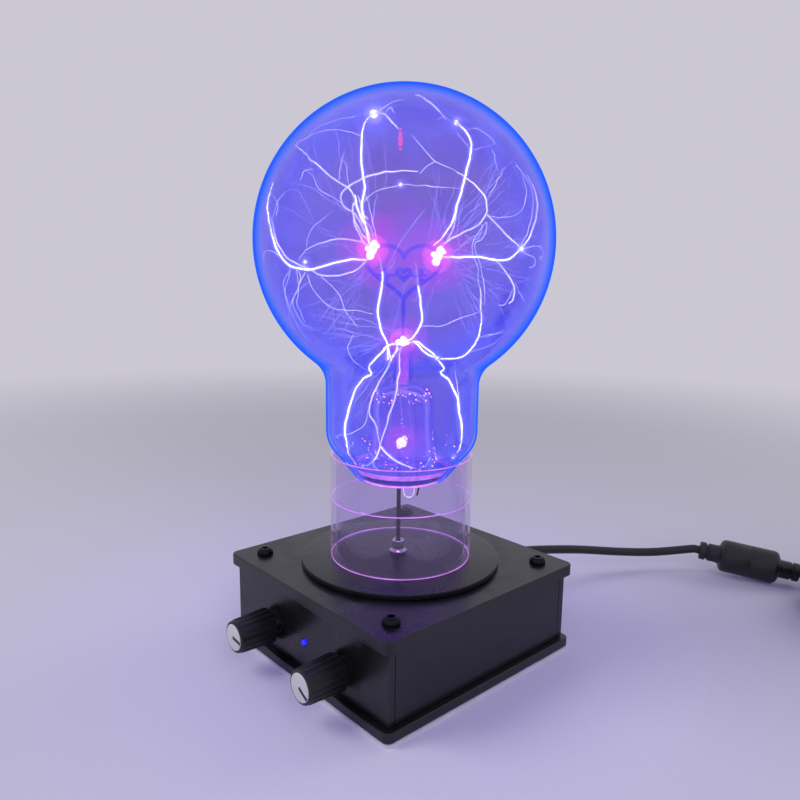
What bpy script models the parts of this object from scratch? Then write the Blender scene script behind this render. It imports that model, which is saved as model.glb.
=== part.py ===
"""Desktop resonant transformer: a driver box, an acrylic tube on its lid and a discharge bulb in the tube.

The origin is the middle of the box's underside. -Y is the face with the two knobs, +Y the face with the
DC socket and +Z is up. Sizes are in metres.
"""

import math

import bmesh
import bpy
from mathutils import Matrix, Vector

MM = 0.001
SEAT_GAP = 0.3 * MM
CUT_OVER = 2 * MM

# Box
PLATE_SIDE = 106 * MM
PLATE_CORNER = 3 * MM
PLATE_EDGE = 0.35 * MM
MAT_THICK = 1.2 * MM
BOTTOM_PLATE_THICK = 4 * MM
TOP_PLATE_THICK = 5 * MM
WALL_HEIGHT = 28.2 * MM
WALL_THICK = 3 * MM
WALL_INSET = 2.7 * MM
CORNER_INSET = 11 * MM

# Long lid screws and the sleeves round them
SCREW_SHANK_RADIUS = 1.5 * MM
SCREW_HEAD_RADIUS = 3.5 * MM
SCREW_HEAD_HEIGHT = 2.3 * MM
SCREW_SOCKET_RADIUS = 1.4 * MM
SCREW_SOCKET_DEPTH = 1.3 * MM
SCREW_GRIP = 3 * MM
SCREW_HEAD_SHARES = ((0.62, 1), (0.88, 0.72), (1, 0.25))
SLEEVE_RADIUS = 4 * MM

# Disc, tube and high-voltage terminal
DISC_RADIUS = 42.4 * MM
DISC_THICK = 2.2 * MM
TUBE_RADIUS = 30 * MM
TUBE_WALL = 2.3 * MM
LOWER_TUBE_HEIGHT = 25.6 * MM
UPPER_TUBE_HEIGHT = 18.8 * MM
TERMINAL_OFFSET = -0.9 * MM
TERMINAL_FLANGE_RADIUS = 3.7 * MM
TERMINAL_FLANGE_HEIGHT = 1.2 * MM
TERMINAL_CUP_RADIUS = 2.7 * MM
TERMINAL_CUP_HEIGHT = 4.6 * MM
TERMINAL_STUD_RADIUS = 1.5 * MM
TERMINAL_STUD_END = 4 * MM
TERMINAL_NUT_RADIUS = 3.2 * MM
TERMINAL_NUT_THICK = 1.5 * MM
ROD_RADIUS = 0.9 * MM
ROD_IN_BULB = 14 * MM

# Bulb
GLOBE_RADIUS = 60 * MM
GLOBE_HEIGHT = 86.4 * MM
GLASS_THICK = 1.2 * MM
NECK_RADIUS = 31.8 * MM
NECK_FILLET = 12 * MM
NECK_FOOT_HEIGHT = 10.2 * MM
SHOULDER_REACH = 5.8 * MM
FOOT_RADIUS = 20.6 * MM
FOOT_DEPTH = 8.6 * MM
MOUTH_RADIUS = 18.8 * MM
MOUTH_DEPTH = 10.4 * MM
VIEW_AZIMUTH = math.radians(48)

# Glass stem inside the bulb
FLARE_GLASS = 1.1 * MM
FLARE_WAIST_RADIUS = 12 * MM
FLARE_SHOULDER_HEIGHT = 29 * MM
FLARE_TOP_HEIGHT = 36.6 * MM
PINCH_RADIUS = 2.7 * MM
PINCH_TOP_HEIGHT = 58.4 * MM
EXHAUST_RADIUS = 1.8 * MM
EXHAUST_TIP_RADIUS = 2.5 * MM
EXHAUST_OFFSET = 3.4 * MM
EXHAUST_TIP_DROP = 20 * MM
LEAD_WIRE_RADIUS = 0.4 * MM
SUPPORT_WIRE_RADIUS = 0.5 * MM
HEART_WIDTH = 32 * MM
HEART_HEIGHT = 22.8 * MM
HEART_BAND = 1.7 * MM
HEART_THICK = 1 * MM
HEART_FOOT_HEIGHT = 74.3 * MM

# Controls on the front panel
CONTROL_Z = 16.2 * MM
KNOB_SPACING = 47 * MM
LED_HEIGHT = 17.4 * MM
POT_RADIUS = 8.2 * MM
POT_DEPTH = 8 * MM
BUSH_RADIUS = 3.5 * MM
BUSH_LENGTH = 6.4 * MM
POT_NUT_RADIUS = 5.5 * MM
POT_NUT_THICK = 1.8 * MM
SHAFT_RADIUS = 2.75 * MM
SHAFT_IN_POT = 1.7 * MM
SHAFT_IN_KNOB = 12.4 * MM
KNOB_LENGTH = 17 * MM
KNOB_RADIUS = 7.5 * MM
KNOB_FACE_RADIUS = 6.7 * MM
KNOB_RIB_DEPTH = 0.45 * MM
KNOB_RIBS = 18
KNOB_LIFT = 1.3 * MM
KNOB_BACK_RECESS = 2.6 * MM
CAP_RADIUS = 5.9 * MM
CAP_THICK = 0.8 * MM
CAP_RECESS = 0.8 * MM
POINTER_WIDTH = 0.9 * MM
POINTER_DEPTH = 0.3 * MM
LEFT_POINTER_ANGLE = math.radians(97)
RIGHT_POINTER_ANGLE = math.radians(120)
LED_RADIUS = 1.5 * MM
LED_FLANGE_RADIUS = 1.9 * MM
LED_FLANGE_THICK = 1 * MM
LED_BODY = 4.6 * MM

# DC socket on the rear panel
SOCKET_HEIGHT = 20 * MM
SOCKET_BARREL_RADIUS = 3.7 * MM
SOCKET_BARREL_LENGTH = 7.6 * MM
SOCKET_BODY_RADIUS = 5.4 * MM
SOCKET_BODY_LENGTH = 11 * MM
SOCKET_BORE_RADIUS = 2.75 * MM
SOCKET_BORE_DEPTH = 10 * MM
SOCKET_NUT_RADIUS = 6.2 * MM
SOCKET_NUT_THICK = 2.1 * MM

# Circuit inside the box
BOARD_HALF_WIDTH = 37 * MM
BOARD_FRONT = 46 * MM
BOARD_REAR = 36 * MM
BOARD_THICK = 1.6 * MM
CORE_WIDTH = 34 * MM
CORE_DEPTH = 9 * MM
CORE_HEIGHT = 21.5 * MM
CORE_LEG = 4 * MM
CORE_YOKE = 4 * MM
PRIMARY_HEIGHT = 4.5 * MM
SECONDARY_HEIGHT = 8 * MM
HV_LEAD_RADIUS = 0.8 * MM
HEATSINK_CORNER = (-33 * MM, 18 * MM)
HEATSINK_WIDTH = 27 * MM
HEATSINK_DEPTH = 14 * MM
HEATSINK_HEIGHT = 22 * MM
HEATSINK_BASE = 3.5 * MM
FIN_COUNT = 5
FIN_THICK = 1.8 * MM
TRANSISTOR_WIDTH = 15.6 * MM
TRANSISTOR_DEPTH = 4.8 * MM
TRANSISTOR_HEIGHT = 20 * MM
CAPACITOR_RADIUS = 5 * MM
CAPACITOR_HEIGHT = 17 * MM
CAPACITOR_PLACE = (13 * MM, 26 * MM)
CAPACITOR_PITCH = 12 * MM

# Power lead
LEAD_RADIUS = 2.25 * MM
PLUG_BARREL_RADIUS = 2.4 * MM
PLUG_BARREL_LENGTH = 8.5 * MM
PLUG_GRIP_RADIUS = 5 * MM
PLUG_GRIP_LENGTH = 14 * MM
PLUG_RELIEF_RADIUS = 3.3 * MM
PLUG_RELIEF_LENGTH = 12 * MM
PLUG_RELIEF_ROOT_SHARE = 1.15
PLUG_CHAMFER_SHARES = (0.94, 0.9)
CHOKE_RADIUS = 8.6 * MM
CHOKE_LENGTH = 29 * MM
CHOKE_EDGE = 2 * MM
CHOKE_NECK_RADIUS = 4.8 * MM
CHOKE_NECK_LENGTH = 10.5 * MM
CHOKE_GROOVE = 1 * MM
CHOKE_COLLAR = 3.4 * MM
CHOKE_CENTRE = (73.5 * MM, 187.8 * MM)
CHOKE_TURN = math.radians(28)
CHOKE_TILT = math.radians(6.5)
LEAD_ROUTE = (
    (5 * MM, 98.6 * MM, 19 * MM), (12 * MM, 120.5 * MM, 15.5 * MM), (22.8 * MM, 143 * MM, 11.8 * MM),
    (34.5 * MM, 158.5 * MM, 11.2 * MM))
COIL_ENTRY_ROUTE = ((106.5 * MM, 205.6 * MM, 5.9 * MM), (114.5 * MM, 210 * MM, 4.4 * MM))
TAIL_ROUTE = ((150 * MM, 212 * MM, 17.2 * MM), (162 * MM, 211.4 * MM, 15 * MM))
FLOOR_GAP = 0.1 * MM
COIL_CENTRE = (132 * MM, 185 * MM)
COIL_RADIUS = 27.2 * MM
COIL_PITCH = 5.2 * MM
COIL_LAYER_STEP = 5 * MM
COIL_LAYERS = 4
COIL_TURNS_PER_LAYER = 2
COIL_POINTS_PER_TURN = 24
COIL_CLIMB_SHARE = 0.25
TIE_WIDTH = 8 * MM
TIE_THICK = 0.8 * MM
ADAPTER_LENGTH = 50 * MM
ADAPTER_WIDTH = 38 * MM
ADAPTER_HEIGHT = 27 * MM
ADAPTER_EDGE = 3 * MM
ADAPTER_START = (187 * MM, 211 * MM)
ADAPTER_RELIEF_RADIUS = 3.4 * MM
ADAPTER_RELIEF_ROOT_RADIUS = 4.4 * MM
ADAPTER_RELIEF_LENGTH = 11 * MM
BLADE_LENGTH = 16 * MM
BLADE_WIDTH = 6.3 * MM
BLADE_THICK = 1.5 * MM
BLADE_SPACING = 12.7 * MM
BLADE_ROOT = 3 * MM

# Levels that follow from the sizes above
BOTTOM_PLATE_Z = MAT_THICK + SEAT_GAP
WALL_Z = BOTTOM_PLATE_Z + BOTTOM_PLATE_THICK + SEAT_GAP
WALL_TOP_Z = WALL_Z + WALL_HEIGHT
TOP_PLATE_Z = WALL_TOP_Z + SEAT_GAP
LID_Z = TOP_PLATE_Z + TOP_PLATE_THICK
DISC_Z = LID_Z + SEAT_GAP
DISC_TOP_Z = DISC_Z + DISC_THICK
LOWER_TUBE_Z = DISC_TOP_Z + SEAT_GAP
UPPER_TUBE_Z = LOWER_TUBE_Z + LOWER_TUBE_HEIGHT + SEAT_GAP
RIM_Z = UPPER_TUBE_Z + UPPER_TUBE_HEIGHT
GLOBE_Z = RIM_Z + GLOBE_HEIGHT
MOUTH_Z = RIM_Z - MOUTH_DEPTH
BOARD_Z = WALL_Z
BOARD_TOP_Z = BOARD_Z + BOARD_THICK
PART_Z = BOARD_TOP_Z + SEAT_GAP
SCREW_HOLE_RADIUS = SCREW_SHANK_RADIUS + SEAT_GAP
WALL_OUT = PLATE_SIDE / 2 - WALL_INSET
WALL_IN = WALL_OUT - WALL_THICK
SCREW_PLACE = PLATE_SIDE / 2 - CORNER_INSET
TUBE_BORE_RADIUS = TUBE_RADIUS - TUBE_WALL
SEAT_RADIUS = TUBE_BORE_RADIUS - SEAT_GAP
WINDING_INNER_RADIUS = math.hypot(CORE_LEG, CORE_DEPTH / 2) + SEAT_GAP
WINDING_RADIUS = CORE_WIDTH / 2 - CORE_LEG - SEAT_GAP
LEAD_DIAMETER = 2 * LEAD_RADIUS
COIL_Z = FLOOR_GAP + TIE_THICK + SEAT_GAP + LEAD_RADIUS
SIDEWAYS = Vector((math.cos(VIEW_AZIMUTH), math.sin(VIEW_AZIMUTH), 0))

# Colours: base colour, roughness, metallic
FINISHES = {
    "black_acrylic": ((0.012, 0.012, 0.014), 0.32, 0),
    "grey_foam": ((0.62, 0.63, 0.66), 0.8, 0),
    "black_steel": ((0.02, 0.02, 0.022), 0.3, 1),
    "clear_acrylic": ((0.86, 0.84, 0.95), 0.06, 0),
    "clear_glass": ((0.72, 0.76, 0.98), 0.04, 0),
    "nickel": ((0.72, 0.7, 0.68), 0.25, 1),
    "lead_metal": ((0.1, 0.08, 0.1), 0.4, 1),
    "electrode_steel": ((0.12, 0.14, 0.42), 0.35, 1),
    "knob_plastic": ((0.018, 0.018, 0.02), 0.45, 0),
    "pale_plastic": ((0.78, 0.78, 0.8), 0.4, 0),
    "blue_lens": ((0.04, 0.1, 0.9), 0.15, 0),
    "circuit_green": ((0.03, 0.16, 0.07), 0.5, 0),
    "ferrite": ((0.05, 0.05, 0.055), 0.6, 0),
    "enamelled_copper": ((0.5, 0.2, 0.08), 0.35, 1),
    "aluminium": ((0.7, 0.71, 0.73), 0.4, 1),
    "dark_epoxy": ((0.02, 0.02, 0.022), 0.5, 0),
    "capacitor_sleeve": ((0.03, 0.05, 0.16), 0.35, 0),
    "red_wire": ((0.45, 0.03, 0.03), 0.5, 0),
    "black_rubber": ((0.014, 0.014, 0.016), 0.5, 0),
}


def clear_scene():
    """Remove what the file holds, so each run starts empty."""
    for item in list(bpy.data.objects):
        bpy.data.objects.remove(item, do_unlink=True)


def new_collection(name):
    """A collection linked under the scene."""
    made = bpy.data.collections.new(name)
    bpy.context.scene.collection.children.link(made)
    return made


def finish(name):
    """The material with this name, made on first use."""
    made = bpy.data.materials.get(name)
    if made is None:
        colour, roughness, metallic = FINISHES[name]
        made = bpy.data.materials.new(name)
        made.use_nodes = True
        shader = made.node_tree.nodes["Principled BSDF"]
        shader.inputs["Base Color"].default_value = (*colour, 1)
        shader.inputs["Roughness"].default_value = roughness
        shader.inputs["Metallic"].default_value = metallic
        made.diffuse_color = (*colour, 1)
    return made


def place(name, data, material):
    """Link data as a part when it has a material, or else as a cutter."""
    item = bpy.data.objects.new(name, data)
    if material is None:
        CUTTERS.objects.link(item)
        item.hide_render = True
        item.display_type = "WIRE"
    else:
        PARTS.objects.link(item)
        data.materials.append(finish(material))
    return item


def aim(item, base, direction):
    """Stand an item's own Z axis along a direction, with its origin at base."""
    turn = Vector(direction).to_track_quat("Z", "Y")
    item.matrix_world = Matrix.Translation(Vector(base)) @ turn.to_matrix().to_4x4()
    return item


def shade_round(mesh):
    """Smooth shading that keeps the hard corners."""
    mesh.shade_smooth()
    mesh.set_sharp_from_angle(angle=math.radians(40))


def soften(item, width):
    """A small bevel on the sharp edges."""
    bevel = item.modifiers.new("edge", "BEVEL")
    bevel.width = width
    bevel.segments = 1
    bevel.limit_method = "ANGLE"
    bevel.angle_limit = math.radians(60)
    return item


def cut(item, cutter):
    """Take a cutter out of an item."""
    hole = item.modifiers.new("cut_" + cutter.name, "BOOLEAN")
    hole.operation = "DIFFERENCE"
    hole.solver = "EXACT"
    hole.object = cutter
    return item


def block(name, material, low, high, upright_corner=0, edge=0):
    """A box between two corners, with rounded upright edges if asked."""
    low = Vector(low)
    high = Vector(high)
    size = high - low
    shape = bmesh.new()
    bmesh.ops.create_cube(shape, size=1, matrix=Matrix.Diagonal((*size, 1)))
    if upright_corner:
        upright = [e for e in shape.edges if abs(e.verts[0].co.z - e.verts[1].co.z) > size.z / 2]
        bmesh.ops.bevel(
            shape, geom=upright, offset=upright_corner, segments=4, profile=0.5, affect="EDGES")
    mesh = bpy.data.meshes.new(name)
    shape.to_mesh(mesh)
    shape.free()
    item = place(name, mesh, material)
    item.location = (low + high) / 2
    if edge:
        soften(item, edge)
    return item


def cylinder(name, material, radius, length, base, direction=(0, 0, 1), sides=32):
    """A solid cylinder that starts at base."""
    shape = bmesh.new()
    bmesh.ops.create_cone(
        shape, cap_ends=True, segments=sides, radius1=radius, radius2=radius, depth=length,
        matrix=Matrix.Translation((0, 0, length / 2)))
    mesh = bpy.data.meshes.new(name)
    shape.to_mesh(mesh)
    shape.free()
    shade_round(mesh)
    return aim(place(name, mesh, material), base, direction)


def turned(name, material, profile, base=(0, 0, 0), direction=(0, 0, 1), steps=32, loop=False):
    """A profile of (radius, height) points turned round its own Z axis."""
    mesh = bpy.data.meshes.new(name)
    points = [(radius, 0, height) for radius, height in profile]
    edges = [(i, i + 1) for i in range(len(points) - 1)]
    if loop:
        edges.append((len(points) - 1, 0))
    mesh.from_pydata(points, edges, [])
    item = place(name, mesh, material)
    screw = item.modifiers.new("turn", "SCREW")
    screw.axis = "Z"
    screw.angle = math.tau
    screw.steps = steps
    screw.render_steps = steps
    screw.use_merge_vertices = True
    screw.merge_threshold = 0.00001
    screw.use_smooth_shade = True
    return aim(item, base, direction)


def wire(name, material, points, radius, radii_shares=None, resolution=2):
    """A round wire or tube along points, closed at both ends."""
    curve = bpy.data.curves.new(name, "CURVE")
    curve.dimensions = "3D"
    curve.bevel_depth = radius
    curve.bevel_resolution = resolution
    curve.use_fill_caps = True
    spline = curve.splines.new("POLY")
    spline.points.add(len(points) - 1)
    for index, point in enumerate(points):
        spline.points[index].co = (*point, 1)
        if radii_shares:
            spline.points[index].radius = radii_shares[index]
    return place(name, curve, material)


def flat_outline(name, material, outlines, thickness):
    """A flat sheet in its own XY plane, with the later outlines as holes."""
    curve = bpy.data.curves.new(name, "CURVE")
    curve.dimensions = "2D"
    curve.fill_mode = "BOTH"
    curve.extrude = thickness / 2
    for outline in outlines:
        spline = curve.splines.new("POLY")
        spline.points.add(len(outline) - 1)
        for index, (x, y) in enumerate(outline):
            spline.points[index].co = (x, y, 0, 1)
        spline.use_cyclic_u = True
    return place(name, curve, material)


def to_mesh(item, material):
    """A mesh copy of a curve item, welded shut, under the same name."""
    bpy.context.view_layer.update()
    graph = bpy.context.evaluated_depsgraph_get()
    mesh = bpy.data.meshes.new_from_object(item.evaluated_get(graph))
    shape = bmesh.new()
    shape.from_mesh(mesh)
    bmesh.ops.remove_doubles(shape, verts=shape.verts, dist=SEAT_GAP / 30)
    shape.to_mesh(mesh)
    shape.free()
    mesh.materials.clear()
    name = item.name
    matrix = item.matrix_world.copy()
    bpy.data.objects.remove(item, do_unlink=True)
    made = place(name, mesh, material)
    made.matrix_world = matrix
    return made


def arc(centre, radius, start, end, count):
    """Points on an arc in the profile plane, angles counted from +X towards +Z."""
    points = []
    for index in range(count + 1):
        angle = start + (end - start) * index / count
        points.append((centre[0] + radius * math.cos(angle), centre[1] + radius * math.sin(angle)))
    return points


def bend(start, control, end, count):
    """Points on a quadratic curve, without its first point."""
    points = []
    for index in range(1, count + 1):
        t = index / count
        weights = ((1 - t) ** 2, 2 * t * (1 - t), t * t)
        points.append(tuple(
            weights[0] * a + weights[1] * b + weights[2] * c for a, b, c in zip(start, control, end)))
    return points


def smooth_path(route, spacing):
    """Points along a smooth curve through the route's points, with its first and last legs left straight."""
    route = [Vector(point) for point in route]
    fine = [route[1]]
    for index in range(1, len(route) - 2):
        before, start, end, after = route[index - 1:index + 3]
        for step in range(1, 25):
            t = step / 24
            fine.append(0.5 * (
                2 * start + (end - before) * t + (2 * before - 5 * start + 4 * end - after) * t * t
                + (3 * start - before - 3 * end + after) * t ** 3))
    return [route[0]] + even_points(fine, spacing) + [route[-1]]


def even_points(fine, spacing):
    """Points at an even spacing along a fine polyline, with both ends kept."""
    length = path_length(fine)
    count = max(2, round(length / spacing))
    points = [fine[0]]
    travelled = 0
    for start, end in zip(fine, fine[1:]):
        piece = (end - start).length
        while len(points) < count and travelled + piece >= length * len(points) / count:
            share = (length * len(points) / count - travelled) / piece
            points.append(start.lerp(end, share))
        travelled += piece
    points.append(fine[-1])
    return points


def path_length(points):
    """Length along a polyline."""
    return sum((end - start).length for start, end in zip(points, points[1:]))


def corners():
    """The four screw places, counted round from the front left corner."""
    signs = ((-1, -1), (1, -1), (1, 1), (-1, 1))
    return [(x * SCREW_PLACE, y * SCREW_PLACE) for x, y in signs]


def side(offset, height):
    """A point offset sideways from the bulb's axis, in the plane that faces the viewer."""
    return SIDEWAYS * offset + Vector((0, 0, height))


def build_box():
    """Mat, plates and the four walls, with the holes that go through them."""
    half = PLATE_SIDE / 2
    block(
        "base_mat", "grey_foam", (-half, -half, 0), (half, half, MAT_THICK), PLATE_CORNER)
    bottom = block(
        "bottom_plate", "black_acrylic", (-half, -half, BOTTOM_PLATE_Z),
        (half, half, BOTTOM_PLATE_Z + BOTTOM_PLATE_THICK), PLATE_CORNER, PLATE_EDGE)
    top = block(
        "top_plate", "black_acrylic", (-half, -half, TOP_PLATE_Z), (half, half, LID_Z),
        PLATE_CORNER, PLATE_EDGE)
    for index, (x, y) in enumerate(corners()):
        number = str(index + 1)
        bottom_hole = cylinder(
            "bottom_hole_" + number, None, SCREW_HOLE_RADIUS,
            BOTTOM_PLATE_THICK + 2 * CUT_OVER, (x, y, BOTTOM_PLATE_Z - CUT_OVER), sides=16)
        top_hole = cylinder(
            "top_hole_" + number, None, SCREW_HOLE_RADIUS,
            TOP_PLATE_THICK + 2 * CUT_OVER, (x, y, TOP_PLATE_Z - CUT_OVER), sides=16)
        cut(bottom, bottom_hole)
        cut(top, top_hole)
    terminal_hole = cylinder(
        "terminal_hole", None, TERMINAL_STUD_RADIUS + SEAT_GAP,
        DISC_TOP_Z - TOP_PLATE_Z + 2 * CUT_OVER, terminal_point(TOP_PLATE_Z - CUT_OVER), sides=16)
    cut(top, terminal_hole)
    front = block(
        "front_panel", "black_acrylic", (-WALL_OUT, -WALL_OUT, WALL_Z), (WALL_OUT, -WALL_IN, WALL_TOP_Z))
    for label, x in (("left", -KNOB_SPACING / 2), ("right", KNOB_SPACING / 2)):
        cut(front, cylinder(
            "bush_hole_" + label, None, BUSH_RADIUS + SEAT_GAP, WALL_THICK + 2 * CUT_OVER,
            (x, -WALL_OUT - CUT_OVER, CONTROL_Z), (0, 1, 0), 24))
    cut(front, cylinder(
        "led_hole", None, LED_RADIUS + SEAT_GAP, WALL_THICK + 2 * CUT_OVER,
        (0, -WALL_OUT - CUT_OVER, LED_HEIGHT), (0, 1, 0), 16))
    rear = block(
        "rear_panel", "black_acrylic", (-WALL_OUT, WALL_IN, WALL_Z), (WALL_OUT, WALL_OUT, WALL_TOP_Z))
    cut(rear, cylinder(
        "socket_hole", None, SOCKET_BARREL_RADIUS + SEAT_GAP, WALL_THICK + 2 * CUT_OVER,
        (0, WALL_IN - CUT_OVER, SOCKET_HEIGHT), (0, 1, 0), 24))
    reach = WALL_IN - SEAT_GAP
    block("left_wall", "black_acrylic", (-WALL_OUT, -reach, WALL_Z), (-WALL_IN, reach, WALL_TOP_Z))
    block("right_wall", "black_acrylic", (WALL_IN, -reach, WALL_Z), (WALL_OUT, reach, WALL_TOP_Z))
    disc = cylinder("top_disc", "black_acrylic", DISC_RADIUS, DISC_THICK, (0, 0, DISC_Z), sides=64)
    cut(disc, terminal_hole)


def build_fasteners():
    """Corner sleeves and the long screws that run through them from the lid into the bottom plate."""
    head = [(SCREW_HEAD_RADIUS * out, SCREW_HEAD_HEIGHT * up) for out, up in SCREW_HEAD_SHARES]
    for index, (x, y) in enumerate(corners()):
        number = str(index + 1)
        turned(
            "corner_sleeve_" + number, "aluminium",
            [(SLEEVE_RADIUS, WALL_HEIGHT), (SLEEVE_RADIUS, 0), (SCREW_HOLE_RADIUS, 0),
             (SCREW_HOLE_RADIUS, WALL_HEIGHT)],
            (x, y, WALL_Z), steps=16, loop=True)
        shank_end = WALL_Z - SEAT_GAP - SCREW_GRIP - LID_Z - SEAT_GAP
        screw = turned(
            "lid_screw_" + number, "black_steel",
            [(0, SCREW_HEAD_HEIGHT)] + head
            + [(SCREW_HEAD_RADIUS, 0), (SCREW_SHANK_RADIUS, 0), (SCREW_SHANK_RADIUS, shank_end), (0, shank_end)],
            (x, y, LID_Z + SEAT_GAP), steps=16)
        socket = cylinder(
            "socket_cut_" + number, None, SCREW_SOCKET_RADIUS, SCREW_SOCKET_DEPTH + CUT_OVER,
            (x, y, LID_Z + SEAT_GAP + SCREW_HEAD_HEIGHT - SCREW_SOCKET_DEPTH), sides=6)
        cut(screw, socket)


def terminal_point(height):
    """A point on the high-voltage rod's axis."""
    return side(TERMINAL_OFFSET, height)


def build_tube():
    """The clear tube in two sections, butted in the middle."""
    for name, level, height in (
            ("tube_lower", LOWER_TUBE_Z, LOWER_TUBE_HEIGHT), ("tube_upper", UPPER_TUBE_Z, UPPER_TUBE_HEIGHT)):
        turned(
            name, "clear_acrylic",
            [(TUBE_RADIUS, height), (TUBE_RADIUS, 0), (TUBE_BORE_RADIUS, 0), (TUBE_BORE_RADIUS, height)],
            (0, 0, level), steps=64, loop=True)


def build_terminal():
    """Terminal cup with its stud and nut, and the rod that stands in it."""
    flange_z = DISC_TOP_Z + SEAT_GAP
    cup_top = TERMINAL_FLANGE_HEIGHT + TERMINAL_CUP_HEIGHT
    stud_end = TOP_PLATE_Z - TERMINAL_STUD_END - flange_z
    bore = ROD_RADIUS + SEAT_GAP
    turned(
        "hv_terminal", "nickel",
        [(0, TERMINAL_FLANGE_HEIGHT), (bore, TERMINAL_FLANGE_HEIGHT), (bore, cup_top),
         (TERMINAL_CUP_RADIUS, cup_top), (TERMINAL_CUP_RADIUS, TERMINAL_FLANGE_HEIGHT),
         (TERMINAL_FLANGE_RADIUS, TERMINAL_FLANGE_HEIGHT), (TERMINAL_FLANGE_RADIUS, 0),
         (TERMINAL_STUD_RADIUS, 0), (TERMINAL_STUD_RADIUS, stud_end), (0, stud_end)],
        terminal_point(flange_z), steps=24)
    nut = cylinder(
        "terminal_nut", "nickel", TERMINAL_NUT_RADIUS, TERMINAL_NUT_THICK,
        terminal_point(TOP_PLATE_Z - SEAT_GAP - TERMINAL_NUT_THICK), sides=6)
    cut(nut, cylinder(
        "nut_hole", None, TERMINAL_STUD_RADIUS + SEAT_GAP, TERMINAL_NUT_THICK + 2 * CUT_OVER,
        terminal_point(TOP_PLATE_Z - SEAT_GAP - TERMINAL_NUT_THICK - CUT_OVER), sides=16))
    rod_z = flange_z + TERMINAL_FLANGE_HEIGHT + SEAT_GAP
    cylinder(
        "hv_rod", "lead_metal", ROD_RADIUS, MOUTH_Z + ROD_IN_BULB - rod_z, terminal_point(rod_z), sides=12)


def bulb_outline():
    """Outer profile of the bulb, from the crown down to the open mouth at its foot."""
    spread = NECK_RADIUS + NECK_FILLET
    drop = math.sqrt((GLOBE_RADIUS + NECK_FILLET) ** 2 - spread ** 2)
    fillet_z = GLOBE_Z - drop
    meet = math.atan2(drop, spread)
    profile = arc((0, GLOBE_Z), GLOBE_RADIUS, math.pi / 2, -meet, 16)
    profile[0] = (0, GLOBE_Z + GLOBE_RADIUS)
    profile += arc((spread, fillet_z), NECK_FILLET, math.pi - meet, math.pi, 4)[1:]
    neck_foot = (NECK_RADIUS, RIM_Z + NECK_FOOT_HEIGHT)
    seat = (SEAT_RADIUS, RIM_Z)
    foot = (FOOT_RADIUS, RIM_Z - FOOT_DEPTH)
    mouth = (MOUTH_RADIUS, MOUTH_Z)
    profile.append(neck_foot)
    profile += bend(neck_foot, (NECK_RADIUS, neck_foot[1] - SHOULDER_REACH), seat, 4)
    profile += bend(seat, ((SEAT_RADIUS + FOOT_RADIUS) / 2, (seat[1] + foot[1]) / 2), foot, 2)
    profile.append(mouth)
    return profile


def build_bulb():
    """Glass envelope, its re-entrant stem, exhaust tube, lead wires and the heart electrode."""
    glass = turned("bulb_glass", "clear_glass", bulb_outline(), steps=36)
    shell = glass.modifiers.new("glass", "SOLIDIFY")
    shell.thickness = GLASS_THICK
    shell.offset = -1
    flare_radius = MOUTH_RADIUS - GLASS_THICK - SEAT_GAP
    shoulder_z = MOUTH_Z + FLARE_SHOULDER_HEIGHT
    flare_top_z = MOUTH_Z + FLARE_TOP_HEIGHT
    inner_waist = FLARE_WAIST_RADIUS - FLARE_GLASS
    profile = [(0, MOUTH_Z + PINCH_TOP_HEIGHT)]
    profile.append((PINCH_RADIUS, MOUTH_Z + PINCH_TOP_HEIGHT))
    profile.append((PINCH_RADIUS, flare_top_z + PINCH_RADIUS))
    profile += bend(profile[-1], (FLARE_WAIST_RADIUS, flare_top_z + PINCH_RADIUS),
                    (FLARE_WAIST_RADIUS, shoulder_z), 6)
    profile += bend(profile[-1], (FLARE_WAIST_RADIUS, MOUTH_Z + FLARE_WAIST_RADIUS / 2),
                    (flare_radius, MOUTH_Z), 4)
    profile.append((flare_radius - FLARE_GLASS, MOUTH_Z))
    profile += bend(profile[-1], (inner_waist, MOUTH_Z + FLARE_WAIST_RADIUS / 2),
                    (inner_waist, shoulder_z), 4)
    profile += bend(profile[-1], (inner_waist, flare_top_z), (0, flare_top_z), 5)
    turned("bulb_stem", "clear_glass", profile, steps=28)
    build_stem_parts(flare_top_z)
    build_heart()


def build_stem_parts(flare_top_z):
    """Exhaust tube with its sealed tip and the loose lead wire beside it."""
    tip_z = RIM_Z - EXHAUST_TIP_DROP
    fall = flare_top_z - tip_z
    swell = EXHAUST_TIP_RADIUS / EXHAUST_RADIUS
    exhaust_shares = (
        (0.3, 0.02, 1), (0.45, 0.2, 1), (0.85, 0.42, 1), (1, 0.6, 1), (1, 0.8, 1.05), (1, 0.88, swell),
        (1, 0.95, swell), (1, 0.98, swell * 0.8), (1, 1, swell * 0.3))
    wire(
        "exhaust_tube", "clear_glass",
        [side(EXHAUST_OFFSET * out, flare_top_z - fall * down) for out, down, _ in exhaust_shares],
        EXHAUST_RADIUS, [share for _, _, share in exhaust_shares])
    reach = 2 * EXHAUST_OFFSET
    wire_shares = (
        (0.72, 0.12), (0.84, 0.25), (0.92, 0.33), (0.9, 0.42), (0.98, 0.7), (1.05, 0.87), (1.12, 0.91),
        (1.02, 0.98))
    wire(
        "lead_wire", "lead_metal",
        [side(reach * out, flare_top_z - fall * down) for out, down in wire_shares], LEAD_WIRE_RADIUS)


def heart_outline(width, height, foot):
    """A heart in its own plane, point at the bottom, from the usual sine and cosine curve."""
    points = []
    for index in range(36):
        t = math.tau * index / 36
        across = 16 * math.sin(t) ** 3
        up = 13 * math.cos(t) - 5 * math.cos(2 * t) - 2 * math.cos(3 * t) - math.cos(4 * t)
        points.append((across / 32 * width, foot + (up + 17) / 29 * height))
    return points


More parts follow.
